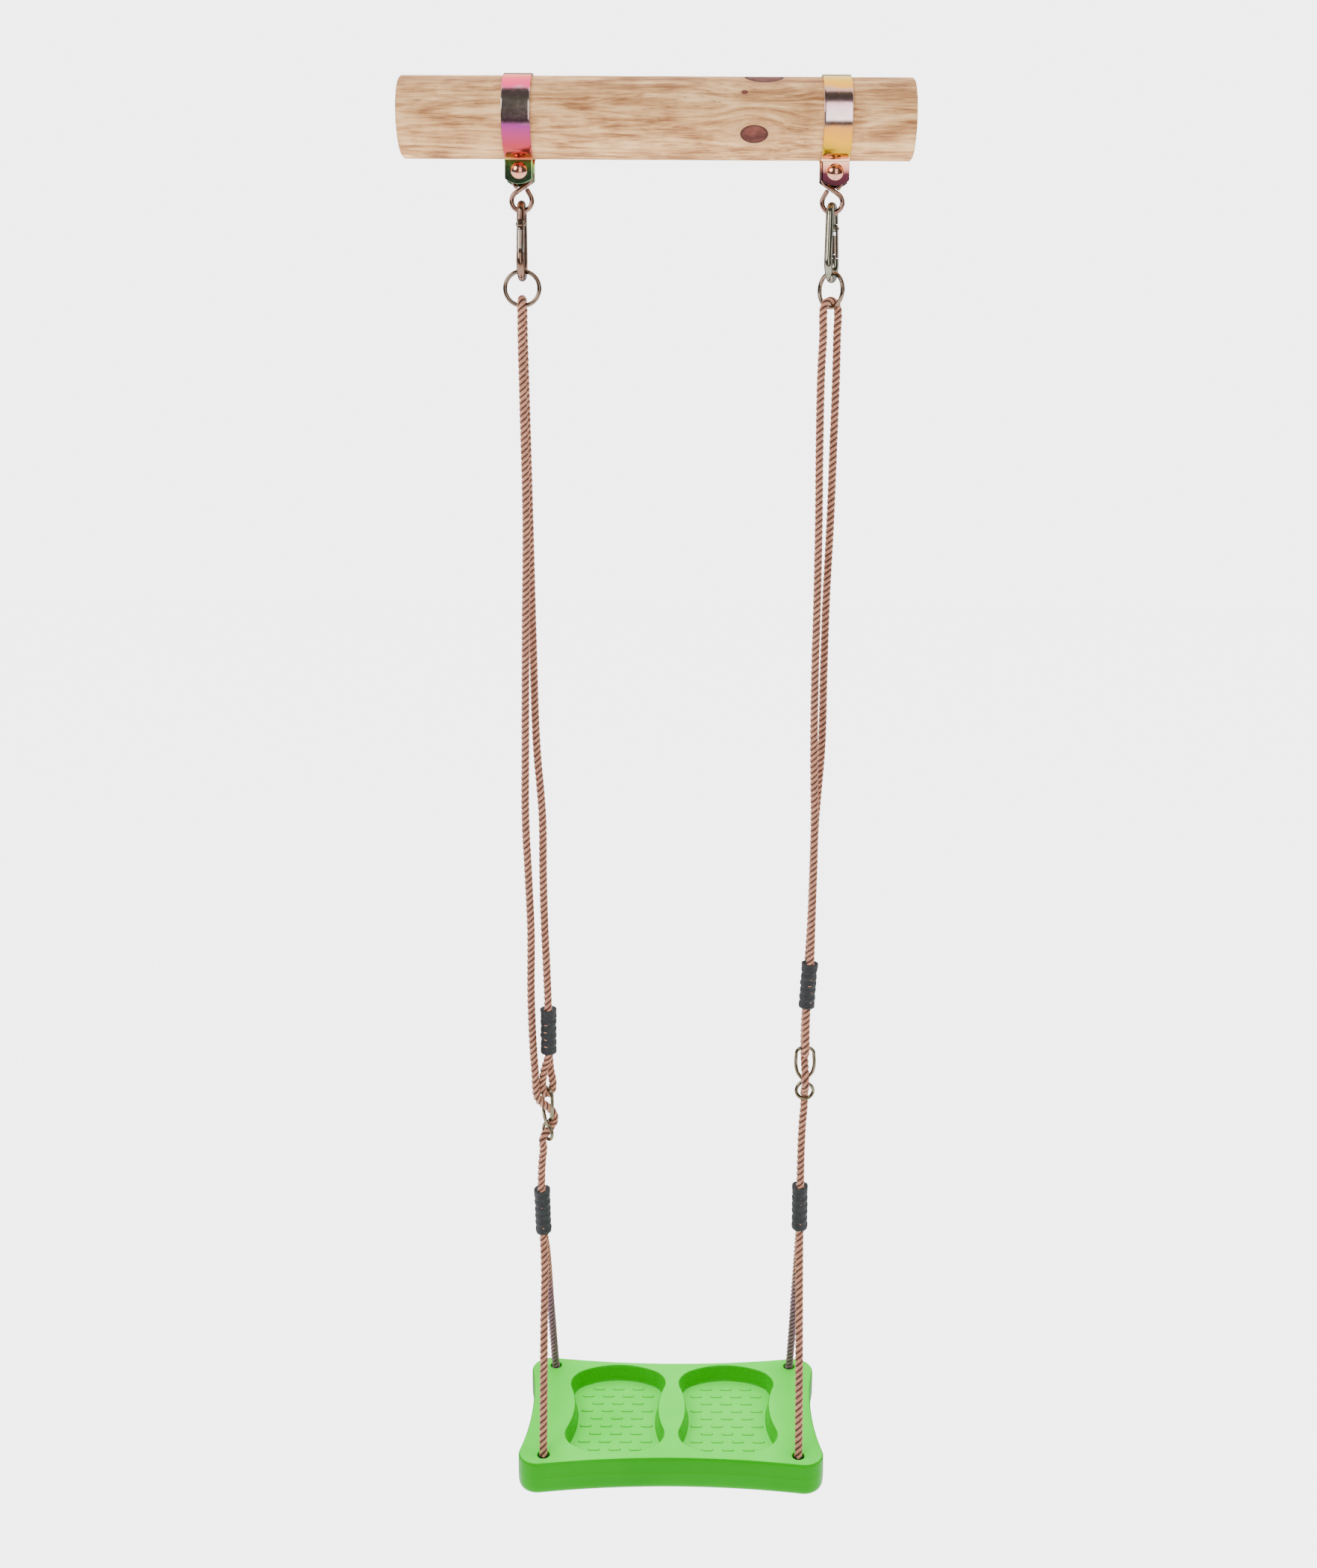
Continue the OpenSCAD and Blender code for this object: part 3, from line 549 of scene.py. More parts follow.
def wood_material(knots):
    """Planed pine pole: streaks of grain that part round the knots, fibre and pores.
    knots holds (x, y, z, half length, half depth, half height) in metres."""
    material = new_material("pine")
    n = Nodes(material.node_tree)
    x, y, z = n.xyz(n.coordinates())
    nearest, parted = None, z
    for kx, ky, kz, half_l, half_d, half_h in knots:
        up = n.minus(z, kz)
        squares = [n.math("POWER", n.times(d, 1 / half), 2)
                   for d, half in ((n.minus(x, kx), half_l), (n.minus(y, ky), half_d),
                                   (up, half_h))]
        distance = n.math("SQRT", n.add(*squares))
        pull = n.span(distance, 0.7, 4.2, 0.9, 0.0, smooth=True)
        parted = n.minus(parted, n.times(up, pull))
        nearest = distance if nearest is None else n.math("MINIMUM", nearest, distance)
    join = n.make("ShaderNodeCombineXYZ")
    for socket, value in zip(join.inputs, (x, y, parted)):
        n.link(value, socket)

    def stretched(scale):
        return n.scaled(join.outputs[0], scale)

    broad = n.noise(stretched((8, 60, 60)), 1.0, 4, 0.6, 1.5)
    lines = n.noise(stretched((15, 190, 190)), 1.0, 3, 0.6, 0.8)
    fibre = n.noise(stretched((40, 700, 700)), 1.0, 3, 0.6)
    cloud = n.noise(n.coordinates(), 22, 3, 0.6)
    grain = n.add(n.times(broad, 0.42), n.times(lines, 0.24), n.times(fibre, 0.16),
                  n.times(cloud, 0.18))
    colour = n.ramp(grain, ((0.41, (0.30, 0.125, 0.045)), (0.465, (0.50, 0.235, 0.09)),
                            (0.52, (0.72, 0.385, 0.155)), (0.60, (0.98, 0.61, 0.29))))
    halo = n.span(n.add(nearest, n.times(cloud, 0.9)), 2.6, 1.5, 0.0, 0.55, smooth=True)
    colour = n.mix(halo, colour, (0.52, 0.23, 0.10))
    core = n.span(nearest, 1.05, 0.97, smooth=True)
    rim = n.span(nearest, 0.80, 0.95)
    heart = n.ramp(n.noise(stretched((60, 160, 160)), 1.0, 3),
                   ((0.35, (0.085, 0.022, 0.017)), (0.68, (0.21, 0.062, 0.045))))
    heart = n.mix(rim, heart, (0.05, 0.016, 0.012))
    colour = n.mix(core, colour, heart)
    pores = n.noise(n.coordinates((60, 420, 420)), 1.0, 2, 0.6)
    patch = n.noise(n.coordinates(), 9, 1)
    dashes = n.times(n.span(pores, 0.63, 0.70), n.span(patch, 0.42, 0.58))
    colour = n.mix(n.times(dashes, 0.6), colour, (0.16, 0.07, 0.03))
    # year rings on the sawn ends, round a pith that is off centre
    across = n.math("POWER", n.minus(y, PITH_Y), 2)
    upward = n.math("POWER", n.minus(z, PITH_Z), 2)
    from_pith = n.add(n.math("SQRT", n.add(across, upward)),
                      n.times(n.noise(n.coordinates(), 30, 3), 0.009))
    year = n.math("SINE", n.times(from_pith, FULL_TURN / YEAR))
    year = n.add(n.times(year, 0.30), n.add(fibre, cloud))
    sawn = n.ramp(n.times(year, 0.5), ((0.36, (0.84, 0.49, 0.22)), (0.52, (0.70, 0.37, 0.15)),
                                       (0.62, (0.38, 0.17, 0.065))))
    end = n.math("ABSOLUTE", n.xyz(n.coordinates(source="Normal"))[0])
    colour = n.mix(n.span(end, 0.80, 0.95), colour, sawn)
    n.colour(colour)
    n.roughness(n.span(fibre, 0.3, 0.7, 0.6, 0.8))
    n.set(Specular_IOR_Level=0.25)
    n.bump(n.minus(grain, n.times(dashes, 0.4)), 0.4, 0.0012)
    return material


# tan rope colours: painted highlight (glint), light, middle, and the dark of the painted crease
# shade
TAN = ((0.98, 0.50, 0.30), (0.47, 0.180, 0.100), (0.19, 0.065, 0.037), (0.028, 0.008, 0.006))
ROPE = rope_material("rope_fibre", *TAN)
# rope for the rear tails and the runs under the board, darker below a height: painted shade
ROPE_PAINTED_SHADE = rope_material("rope_fibre_painted_shade", *TAN,
                          (-1.49, -1.58, (0.27, 0.120, 0.165), (0.105, 0.036, 0.056),
                           (0.010, 0.003, 0.006)))
BOARD = board_material()
SLEEVE = sleeve_material()
# clamp straps: colour bands by height, partly the iridescent plate's own tints and partly painted
# reflection, the dark and bright bands
STRAP_TINT_AND_REFLECTION_BANDS = (-0.085, 0.055, 0.10)
CLAMP = {
    "left": metal_material(
        "clamp_zinc_left",
        ((0.0, (0.10, 0.16, 0.09)), (0.13, (0.12, 0.22, 0.09)), (0.20, (0.30, 0.46, 0.09)),
         (0.24, (0.40, 0.07, 0.04)), (0.32, (0.38, 0.035, 0.055)), (0.40, (0.33, 0.035, 0.12)),
         (0.47, (0.24, 0.035, 0.17)), (0.53, (0.40, 0.26, 0.26)), (0.68, (0.50, 0.42, 0.34)),
         (0.78, (0.48, 0.30, 0.30)), (0.82, (0.66, 0.045, 0.16)), (0.92, (0.80, 0.06, 0.075)),
         (1.0, (0.62, 0.34, 0.10))),
        0.15, axis=STRAP_TINT_AND_REFLECTION_BANDS),
    "right": metal_material(
        "clamp_zinc_right",
        ((0.0, (0.045, 0.012, 0.018)), (0.12, (0.08, 0.020, 0.030)),
         (0.18, (0.78, 0.30, 0.20)), (0.235, (0.92, 0.52, 0.34)), (0.27, (0.40, 0.24, 0.006)),
         (0.36, (0.66, 0.31, 0.006)), (0.46, (0.60, 0.25, 0.04)), (0.49, (0.34, 0.17, 0.11)),
         (0.53, (0.95, 0.74, 0.72)), (0.66, (0.85, 0.50, 0.56)), (0.72, (0.50, 0.34, 0.28)),
         (0.80, (0.46, 0.26, 0.20)), (0.84, (0.66, 0.30, 0.03)), (0.92, (0.66, 0.37, 0.006)),
         (1.0, (0.40, 0.46, 0.14))),
        0.15, axis=STRAP_TINT_AND_REFLECTION_BANDS),
}
# roughness, scale of the tints, and the tints themselves
METAL = {name: metal_material(name, stops, roughness, tint_scale)
         for name, roughness, tint_scale, stops in (
    ("bolt_zinc", 0.14, 120, ((0.3, (0.66, 0.22, 0.13)), (0.5, (0.74, 0.33, 0.21)),
                              (0.7, (0.52, 0.27, 0.22)))),
    ("hook_zinc", 0.16, 70, ((0.3, (0.17, 0.082, 0.060)), (0.55, (0.26, 0.145, 0.108)),
                             (0.75, (0.18, 0.130, 0.088)))),
    # the left carabiner's tints are darker and pinker than the right one's: partly its plate's
    # tone, partly painted shade
    ("carabiner_zinc_left", 0.18, 60, ((0.3, (0.135, 0.066, 0.046)), (0.5, (0.23, 0.135, 0.095)),
                                       (0.7, (0.16, 0.098, 0.066)))),
    ("carabiner_zinc_right", 0.16, 60, ((0.3, (0.125, 0.125, 0.088)), (0.5, (0.25, 0.24, 0.18)),
                                        (0.7, (0.21, 0.17, 0.13)))),
    ("gate_zinc", 0.16, 60, ((0.3, (0.22, 0.16, 0.12)), (0.5, (0.34, 0.28, 0.22)),
                             (0.7, (0.28, 0.19, 0.15)))),
    ("ring_zinc", 0.14, 60, ((0.3, (0.13, 0.080, 0.056)), (0.5, (0.21, 0.150, 0.108)),
                             (0.7, (0.16, 0.125, 0.095)))),
    ("adjuster_nickel", 0.16, 80, ((0.3, (0.105, 0.080, 0.042)), (0.5, (0.18, 0.15, 0.095)),
                                   (0.7, (0.14, 0.125, 0.085)))),
    ("spring_wire", 0.3, 200, ((0.3, (0.30, 0.30, 0.31)), (0.7, (0.45, 0.45, 0.46)))),
)}


# ---- rope

STRANDS, STRAND_SIDES = 3, 12
LAY, HELIX_R, STRAND_R = 23.0, 2.86, 2.62
CORD_STEP = 1.6


def rope_piece(node, line, material, body, phase):
    """Strands twisted round the line, each a tube of its own, as one piece."""
    centre, along = evenly(line, CORD_STEP)
    _, n, b = frames_along(centre)
    vertices, faces, uvs = [], [], []
    sides = STRAND_SIDES
    around = np.linspace(-0.5, 0.5, sides + 1)
    for strand in range(STRANDS):
        turn = 2 * math.pi * (along / LAY + strand / STRANDS) + phase
        out = np.cos(turn)[:, None] * n + np.sin(turn)[:, None] * b
        line = centre + HELIX_R * out
        tangent = unit(np.gradient(line, axis=0))
        up = unit(out - tangent * np.sum(out * tangent, axis=1)[:, None])
        rings = line[:, None, :] + STRAND_R * circles(2 * math.pi * around, up,
                                                      np.cross(tangent, up))
        base = len(vertices)
        vertices.extend((rings.reshape(-1, 3) * MM).tolist())
        length = length_along(line)
        row = sides + 1
        for i in range(len(line) - 1):
            v0, v1 = length[i] * MM, length[i + 1] * MM
            for k in range(sides):
                a = base + i * row + k
                faces.append((a, a + 1, a + row + 1, a + row))
                uvs.extend(((around[k], v0), (around[k + 1], v0),
                            (around[k + 1], v1), (around[k], v1)))
        for end, v in ((0, 0.0), (len(line) - 1, length[-1] * MM)):
            rim = [base + end * row + k for k in range(sides)]
            faces.append(tuple(rim if end else rim[::-1]))
            uvs.extend([(0.5, v)] * sides)
    piece = add_mesh(f"{node}_strands", vertices, faces, material, body, uvs)
    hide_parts(node)


def make_ropes():
    # the rear tails and the runs under the board take the rope with painted shade
    for node, route, material, body, phase in (
            ("rope_left", ROPE_LEFT, ROPE, "rope_left", 0.0),
            ("rope_right", ROPE_RIGHT, ROPE, "rope_right", 0.7),
            ("rope_tail_left", TAIL_LEFT, ROPE_PAINTED_SHADE, "rope_left", 0.4),
            ("rope_tail_right", TAIL_RIGHT, ROPE_PAINTED_SHADE, "rope_right", 1.3)):
        rope_piece(node, smooth_route(route, 1), material, body, phase)
    for side, sign in SIDES:
        rope_piece(f"rope_underrun_{side}", underrun_route(sign), ROPE_PAINTED_SHADE, "footboard", 0.9)


make_ropes()


# ---- stage

FLOOR_Z, FLOOR_HALF, FLOOR_GLOW = -2.15, 14, 3.0
STUDIO_LIGHT, DARK_LOSS, BEHIND_LOSS = 3.1, 2.95, 2.4
BACKDROP = 4.7


def make_stage():
    """A pale floor, a pale studio that metal reflects dark in front, and a soft lamp."""
    mesh = bpy.data.meshes.new("floor")
    corners = ((-1, -1), (1, -1), (1, 1), (-1, 1))
    mesh.from_pydata([(x * FLOOR_HALF, y * FLOOR_HALF, FLOOR_Z) for x, y in corners],
                     [], [(0, 1, 2, 3)])
    floor = bpy.data.objects.new("floor", mesh)
    bpy.context.scene.collection.objects.link(floor)
    material = new_material("floor_paint")
    n = Nodes(material.node_tree)
    n.set(Base_Color=(0.90, 0.90, 0.90, 1), Roughness=0.9)
    n.set(Emission_Color=(1, 1, 1, 1), Emission_Strength=FLOOR_GLOW)
    mesh.materials.append(material)
    floor.visible_diffuse = floor.visible_glossy = False

    world = bpy.data.worlds.new("studio")
    bpy.context.scene.world = world
    world.use_nodes = True
    n = Nodes(world.node_tree)
    background = n.tree.nodes["Background"]
    x, y, z = n.xyz(n.coordinates(source="Generated"))
    # height of a direction above the floor in front, in degrees; 90 is straight up
    rise = n.times(n.math("ARCTAN2", z, n.times(y, -1)), 180 / math.pi)

    def between(low, high, soft):
        return n.times(n.span(rise, low - soft, low + soft, smooth=True),
                       n.span(rise, high - soft, high + soft, 1, 0, smooth=True))

    right = n.times(n.span(x, -0.04, 0.05, smooth=True), n.span(x, 0.38, 0.50, 1, 0, smooth=True))
    dark_left = n.times(between(-26, 73, 5), n.minus(1, right))
    dark_right = n.times(n.add(between(34, 66, 4), between(-26, -15, 3)), right)
    behind = n.add(between(138, 200, 6), between(-200, -138, 6))
    dark = n.times(n.add(dark_left, dark_right), DARK_LOSS)
    studio = n.minus(STUDIO_LIGHT, n.add(dark, n.times(behind, BEHIND_LOSS)))
    seen = n.make("ShaderNodeLightPath").outputs["Is Camera Ray"]
    studio = n.times(studio, n.minus(1, seen))
    strength = n.add(studio, n.times(seen, BACKDROP))
    n.link(strength, background.inputs["Strength"])
    background.inputs["Color"].default_value = (1, 1, 1, 1)

    data = bpy.data.lights.new("key", "AREA")
    data.energy = 75
    data.size = 1.6
    lamp = bpy.data.objects.new("key", data)
    lamp.location = (-2.2, -2.2, 1.2)
    aim = Vector((0, 0, -0.8)) - lamp.location
    lamp.rotation_mode = "QUATERNION"
    lamp.rotation_quaternion = aim.to_track_quat("-Z", "Y")
    bpy.context.scene.collection.objects.link(lamp)


make_stage()


# ---- beam

BEAM_R, BEAM_CHAMFER = 50.0, 2.0
ABOUT_A_TURN = 6.28
KNOTS = ((0.094, -0.0425, -0.026, 0.0170, 0.030, 0.0098),
         (0.1065, -0.0200, 0.0458, 0.0240, 0.0190, 0.0115),
         (0.082, -0.0445, 0.0230, 0.0040, 0.010, 0.0026),
         (-0.205, 0.0460, 0.0200, 0.0130, 0.030, 0.0100))


def make_beam():
    """The pole, turned with a slight waviness just under its full radius."""
    low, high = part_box("beam")
    radius, chamfer = BEAM_R * MM, BEAM_CHAMFER * MM
    rng = random.Random(7)
    sides, rows = 160, 90
    xs = [low[0], low[0] + chamfer] + [
        low[0] + chamfer + (high[0] - low[0] - 2 * chamfer) * i / rows for i in range(1, rows)
    ] + [high[0] - chamfer, high[0]]
    waves = [(rng.uniform(4, 20), rng.uniform(0, ABOUT_A_TURN), rng.randint(1, 5),
              rng.uniform(0, ABOUT_A_TURN)) for _ in range(6)]
    vertices = []
    for i, x in enumerate(xs):
        r = radius - (chamfer if i in (0, len(xs) - 1) else 0)
        for k in range(sides):
            a = 2 * math.pi * k / sides
            dip = sum(math.sin(f * x * ABOUT_A_TURN + p) * math.sin(m * a + q)
                      for f, p, m, q in waves) * 0.00003 - 0.0001
            vertices.append((x, (r + dip) * math.cos(a), (r + dip) * math.sin(a)))
    faces = round_faces(len(xs), sides)
    faces.append(tuple(range(sides)))
    faces.append(tuple((len(xs) - 1) * sides + k for k in range(sides))[::-1])
    piece = add_mesh("beam_pole", vertices, faces, wood_material(KNOTS), "beam_and_clamps")
    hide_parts("beam")
    for face in list(piece.data.polygons)[-2:]:
        face.use_smooth = False


make_beam()


# ---- clamps

CLAMP_X = 196
STRAP_W, STRAP_T, BAND_R, EAR_Y = 35.0, 3.0, 51.5, 12.5
EAR_ROUND, EAR_FOOT, STRAP_BEND_R = 27.0, -82.5, 6.5


def strap_line():
    """The strap's mid line as (y, z, drop), from the foot of the rear ear round the beam
    to the foot of the front ear. drop runs from 0 at the top of an ear to 1 at its foot."""
    centre_y = EAR_Y + STRAP_BEND_R
    centre_z = -math.sqrt((BAND_R + STRAP_BEND_R) ** 2 - centre_y ** 2)
    touch = math.degrees(math.atan2(centre_z, centre_y))
    bend = arc_points((centre_y, centre_z), STRAP_BEND_R, 180, touch + 180, 6)
    band = arc_points((0, 0), BAND_R, touch, 180 - touch, 96)
    ear = [(EAR_Y, centre_z, i / 12) for i in range(12, 0, -1)]
    half = ear + [(y, z, 0.0) for y, z in bend]
    middle = [(y, z, 0.0) for y, z in band[1:-1]]
    return half + middle + [(-y, z, drop) for y, z, drop in reversed(half)]


def make_strap(side, sign):
    line = strap_line()
    columns = 15
    vertices, faces = [], []
    for y, z, drop in line:
        for c in range(columns):
            x = STRAP_W * (c / (columns - 1) - 0.5)
            foot = EAR_FOOT + EAR_ROUND - math.sqrt(EAR_ROUND ** 2 - x * x)
            vertices.append(((sign * CLAMP_X + x) * MM, y * MM, (z + drop * (foot - z)) * MM))
    for i in range(len(line) - 1):
        for c in range(columns - 1):
            a = i * columns + c
            faces.append((a, a + 1, a + columns + 1, a + columns))
    piece = add_mesh(f"clamp_strap_{side}_band", vertices, faces, CLAMP[side], "beam_and_clamps")
    solid = piece.modifiers.new("thickness", "SOLIDIFY")
    solid.thickness = (STRAP_T - 0.1) * MM
    solid.offset = 0
    bevel = piece.modifiers.new("edges", "BEVEL")
    bevel.width = 0.6 * MM
    bevel.segments = 2
    bevel.limit_method = "ANGLE"
    bevel.angle_limit = math.radians(50)
    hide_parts(f"clamp_strap_{side}")


for side, sign in SIDES:
    make_strap(side, sign)


# ---- wire parts

HOOK_MOUTH, HOOK_TAIL = 30, 10


def make_hook(side, sign):
    gap = HOOK_TOP_Z - HOOK_BOTTOM_Z
    lean = math.degrees(math.asin(2 * HOOK_R / gap))
    lower = arc_points((0, HOOK_BOTTOM_Z), HOOK_R, 360 + HOOK_MOUTH, 180 - lean, 60)
    c, s = cos_sin(HOOK_MOUTH)
    end = (HOOK_R * c, HOOK_BOTTOM_Z + HOOK_R * s)
    tail = [(end[0] - HOOK_TAIL * (1 - t) * s, end[1] + HOOK_TAIL * (1 - t) * c)
            for t in (0, 0.03, 0.08, 0.14, 0.22, 0.3, 0.5, 0.7, 0.9)]
    half = tail + lower
    middle = (HOOK_TOP_Z + HOOK_BOTTOM_Z) / 2
    other = [(-x, 2 * middle - z) for x, z in reversed(half)]
    line = [Vector((sign * CHAIN_X - sign * x, 0, z)) for x, z in half + other]
    points, _ = evenly(line, 0.9)
    piece = wire(f"s_hook_{side}_wire", points, HOOK_WIRE, METAL["hook_zinc"],
                 f"hook_{side}", 20, taper=2)
    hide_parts(f"s_hook_{side}")


def make_ring(side, sign):
    c, s = cos_sin(-RING_TURN if sign > 0 else 0)
    points, steps = [], 128
    for i in range(steps):
        a = 2 * math.pi * i / steps
        out = RING_R * math.cos(a)
        points.append((sign * CHAIN_X + out * c, out * s, RING_Z + RING_R * math.sin(a)))
    piece = wire(f"ring_{side}_wire", points, RING_WIRE, METAL["ring_zinc"],
                 f"rope_{side}", 20, closed=True)
    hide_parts(f"ring_{side}")


ADJUSTER_PATH = [
    (0.2, 0, 0), (4, 0, -0.2), (8, 0, -1.8), (11, 0, -5.5), (11.7, 0, -11),
    (11.7, 0, -27), (9.5, 0.6, -34.5), (5, 1.9, -40.5), (0, 2.6, -45), (-5, 1.9, -49),
    (-9.4, 0.6, -53.5), (-11.2, 0, -59), (-9.4, 0, -65), (-5, 0, -69), (0, 0, -70.1),
    (5, 0, -69), (9.4, 0, -65), (11.2, 0, -59), (9.4, -0.6, -53.5), (5, -1.9, -49),
    (0, -2.6, -45), (-5, -1.9, -40.5), (-9.5, -0.6, -34.5), (-11.7, 0, -27),
    (-11.7, 0, -11), (-11, 0, -5.5), (-8, 0, -1.8), (-4, 0, -0.2), (-0.2, 0, 0)]


def make_adjuster(side):
    centre, yaw = ADJUSTER[side]
    turn = Matrix.Rotation(math.radians(yaw - 90), 3, "Z")
    points, _ = evenly(smooth_route(ADJUSTER_PATH, 0.5), 1.2)
    points = [turn @ Vector(p) + Vector(centre) for p in points]
    piece = wire(f"height_adjuster_{side}_wire", points, ADJUSTER_WIRE,
                 METAL["adjuster_nickel"], f"rope_{side}", 16)
    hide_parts(f"height_adjuster_{side}")


for side, sign in SIDES:
    make_hook(side, sign)
    make_ring(side, sign)
    make_adjuster(side)


# ---- carried-over nodes

for side, _ in SIDES:
    for node, metal in (("carriage_bolt", "bolt_zinc"), ("washer", "bolt_zinc"),
                        ("lock_nut", "bolt_zinc"), ("carabiner", f"carabiner_zinc_{side}"),
                        ("gate", "gate_zinc"), ("gate_rivet", "gate_zinc"),
                        ("gate_spring", "spring_wire")):
        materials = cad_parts[f"{node}_{side}"].data.materials
        materials.clear()
        materials.append(METAL[metal])


# ---- sleeves

SLEEVE_L, SLEEVE_R = 60.0, 11.0
# way down as a share, half width as a share, and depth in mm
CRIMPS = ((0.22, 0.022, 1.1), (0.38, 0.03, 0.9), (0.53, 0.022, 1.1), (0.68, 0.03, 0.9),
          (0.84, 0.022, 1.0))


def make_sleeve(node, x, z, lean, seed, slits):
    """Shrink sleeve pulled down over two strands: waisted and creased by its crimps.
    slits are windows on its front: offset in mm, way down as a share, width and height."""
    side = node.rsplit("_", 1)[1]
    rng = random.Random(seed)
    sides, rows, length, radius = 40, 60, SLEEVE_L, SLEEVE_R
    bands = [(rng.uniform(0.2, 0.9), rng.uniform(0.0, ABOUT_A_TURN)) for _ in range(4)]
    vertices, faces = [], []
    turn = Matrix.Rotation(math.radians(lean), 3, "Y")
    top = Vector((x, 0, z))

    def surface(t, a):
        crimp = 0.0
        for start, width, depth in CRIMPS:
            crimp += depth * math.exp(-((t - start) / width) ** 2)
        flare = 0.3 * math.exp(-(t / 0.05) ** 2) - 0.9 * max(0.0, (t - 0.965) / 0.035) ** 2
        wobble = sum(0.16 * math.sin(8 * f * t * ABOUT_A_TURN + p + (j + 2) * a)
                     for j, (f, p) in enumerate(bands))
        front = math.cos(2 * a)  # -1 before and behind, where the strands fill the sleeve
        return (radius - 0.2 - 0.2 * front - crimp * (0.58 + 0.42 * front)
                + flare + wobble * (0.7 + 0.3 * front))

    def place(r, a, down):
        return (turn @ Vector((r * math.cos(a), r * math.sin(a), -down)) + top) * MM

    for i in range(rows + 1):
        for k in range(sides):
            a = 2 * math.pi * k / sides
            vertices.append(place(surface(i / rows, a), a, length * (i / rows)))
    for i in range(rows):
        for k in range(sides):
            m = (k + 1) % sides
            faces.append((i * sides + k, (i + 1) * sides + k, (i + 1) * sides + m, i * sides + m))
    for end in (0, rows):
        rim = end * sides
        inner = len(vertices)
        depth = 1.2 if end == 0 else -1.0
        for ratio, drop in ((0.9, 0.0), (0.82, depth), (0.3, depth * 1.2)):
            for k in range(sides):
                vertices.append(place((radius - 0.4) * ratio, 2 * math.pi * k / sides,
                                      length * end / rows + drop))
        previous = rim
        for ring in range(3):
            current = inner + ring * sides
            for k in range(sides):
                m = (k + 1) % sides
                quad = (previous + k, previous + m, current + m, current + k)
                faces.append(quad if end == 0 else quad[::-1])
            previous = current
        cap = tuple(previous + k for k in range(sides))
        faces.append(cap if end == 0 else cap[::-1])
    piece = add_mesh(f"{node}_tube", vertices, faces, SLEEVE, f"rope_{side}")
    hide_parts(node)
    # rope bulging out through the windows
    vertices, faces, uvs = [], [], []
    across, down = 12, 8
    for offset, t0, width, height in slits:
        base = len(vertices)
        skew = rng.uniform(-0.25, 0.25)
        for j in range(down + 1):
            v = 2 * j / down - 1
            for i in range(across + 1):
                u = 2 * i / across - 1
                reach = math.sqrt(1 - 0.8 * v * v)
                a = -math.pi / 2 + (offset + u * reach * width / 2) / radius
                t = t0 + (v * math.sqrt(1 - 0.75 * u * u) + skew * u) * height / 2 / length
                swell = 0.75 * (1 - u ** 4) * (1 - v * v) - 0.3
                vertices.append(place(surface(t, a) + swell, a, length * t))
        for j in range(down):
            for i in range(across):
                a = base + j * (across + 1) + i
                faces.append((a, a + across + 1, a + across + 2, a + 1))
                for row, column in ((j, i), (j + 1, i), (j + 1, i + 1), (j, i + 1)):
                    uvs.append(((row / down - 0.5) * 0.7, column / across * width * MM))
    windows = add_mesh(f"{node}_windows", vertices, faces, ROPE, f"rope_{side}", uvs)
    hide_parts(node)


make_sleeve("upper_sleeve_left", -165, -1145, 0, 3,
            ((-2.5, 0.32, 5.2, 3.2), (-3.6, 0.48, 5.6, 3.0), (-3.4, 0.65, 5.6, 3.0),
             (-3.0, 0.81, 5.4, 3.4)))
make_sleeve("upper_sleeve_right", 179.2, -1081, 3.6, 4,
            ((2.4, 0.32, 4.0, 1.8), (1.2, 0.47, 5.4, 2.6), (4.4, 0.62, 3.2, 1.6),
             (4.6, 0.84, 3.0, 3.0)))
make_sleeve("lower_sleeve_left", -174.6, -1394, -1.9, 5,
            ((0.2, 0.36, 3.0, 1.3), (1.0, 0.84, 2.4, 3.2)))
make_sleeve("lower_sleeve_right", 170, -1387, 0, 6,
            ((1.0, 0.38, 3.0, 1.3), (0.6, 0.83, 2.4, 3.2)))


# ---- footboard

CORNER, CORNER_R, WAIST, BELLY = (172, 91), 26, 189, 104
WELL_X, WELL_Y, WELL_CORNER, WELL_CORNER_R, WELL_WAIST, WELL_END = 75, 2, (33, 55), 32, 56, 96
WELL_DEPTH = 22.0
BAR_L, BAR_W, BAR_H, BAR_PITCH, BAR_ROW = 16.0, 5.6, 1.3, 27.5, 16.4
GROOVE_HALF, GROOVE_DEPTH = 6.3, 12.5


def flank_centre(mid, r, along, across):
    """Centre, on one axis, of the arc that passes mid there and meets a corner circle."""
    return ((mid - r) ** 2 - along ** 2 - across ** 2) / (2 * (mid - r - along))


def flank_touch(corner, r, centre):
    corner, centre = Vector(corner), Vector(centre)
    out = 1 if centre.length > corner.length else -1
    return corner + out * r * (centre - corner).normalized()


def arc_between(centre, start, end, steps):
    centre, start, end = Vector(centre), Vector(start), Vector(end)
    a = math.atan2(start.y - centre.y, start.x - centre.x)
    b = math.atan2(end.y - centre.y, end.x - centre.x)
    b = b - 2 * math.pi if b - a > math.pi else b + 2 * math.pi if b - a < -math.pi else b
    r = (start - centre).length
    return [Vector((centre.x + r * math.cos(a + (b - a) * i / steps),
                    centre.y + r * math.sin(a + (b - a) * i / steps)))
            for i in range(steps + 1)]


def waisted(corner, r, side_mid, end_mid, inset):
    """Closed outline with four round corners and arcs between them, shrunk by inset.
    Every inset has the same number of points, in step with each other."""
    side_c = (flank_centre(side_mid, r, corner[0], corner[1]), 0)
    end_c = (0, flank_centre(end_mid, r, corner[1], corner[0]))
    t_side = flank_touch(corner, r - inset, side_c)
    t_end = flank_touch(corner, r - inset, end_c)
    quarter = (arc_between(side_c, (side_mid - inset, 0), t_side, 14)
               + arc_between(corner, t_side, t_end, 16)[1:]
               + arc_between(end_c, t_end, (0, end_mid - inset), 18)[1:])
    upper = quarter + [Vector((-p.x, p.y)) for p in reversed(quarter[:-1])]
    return upper + [Vector((p.x, -p.y)) for p in reversed(upper[1:-1])]


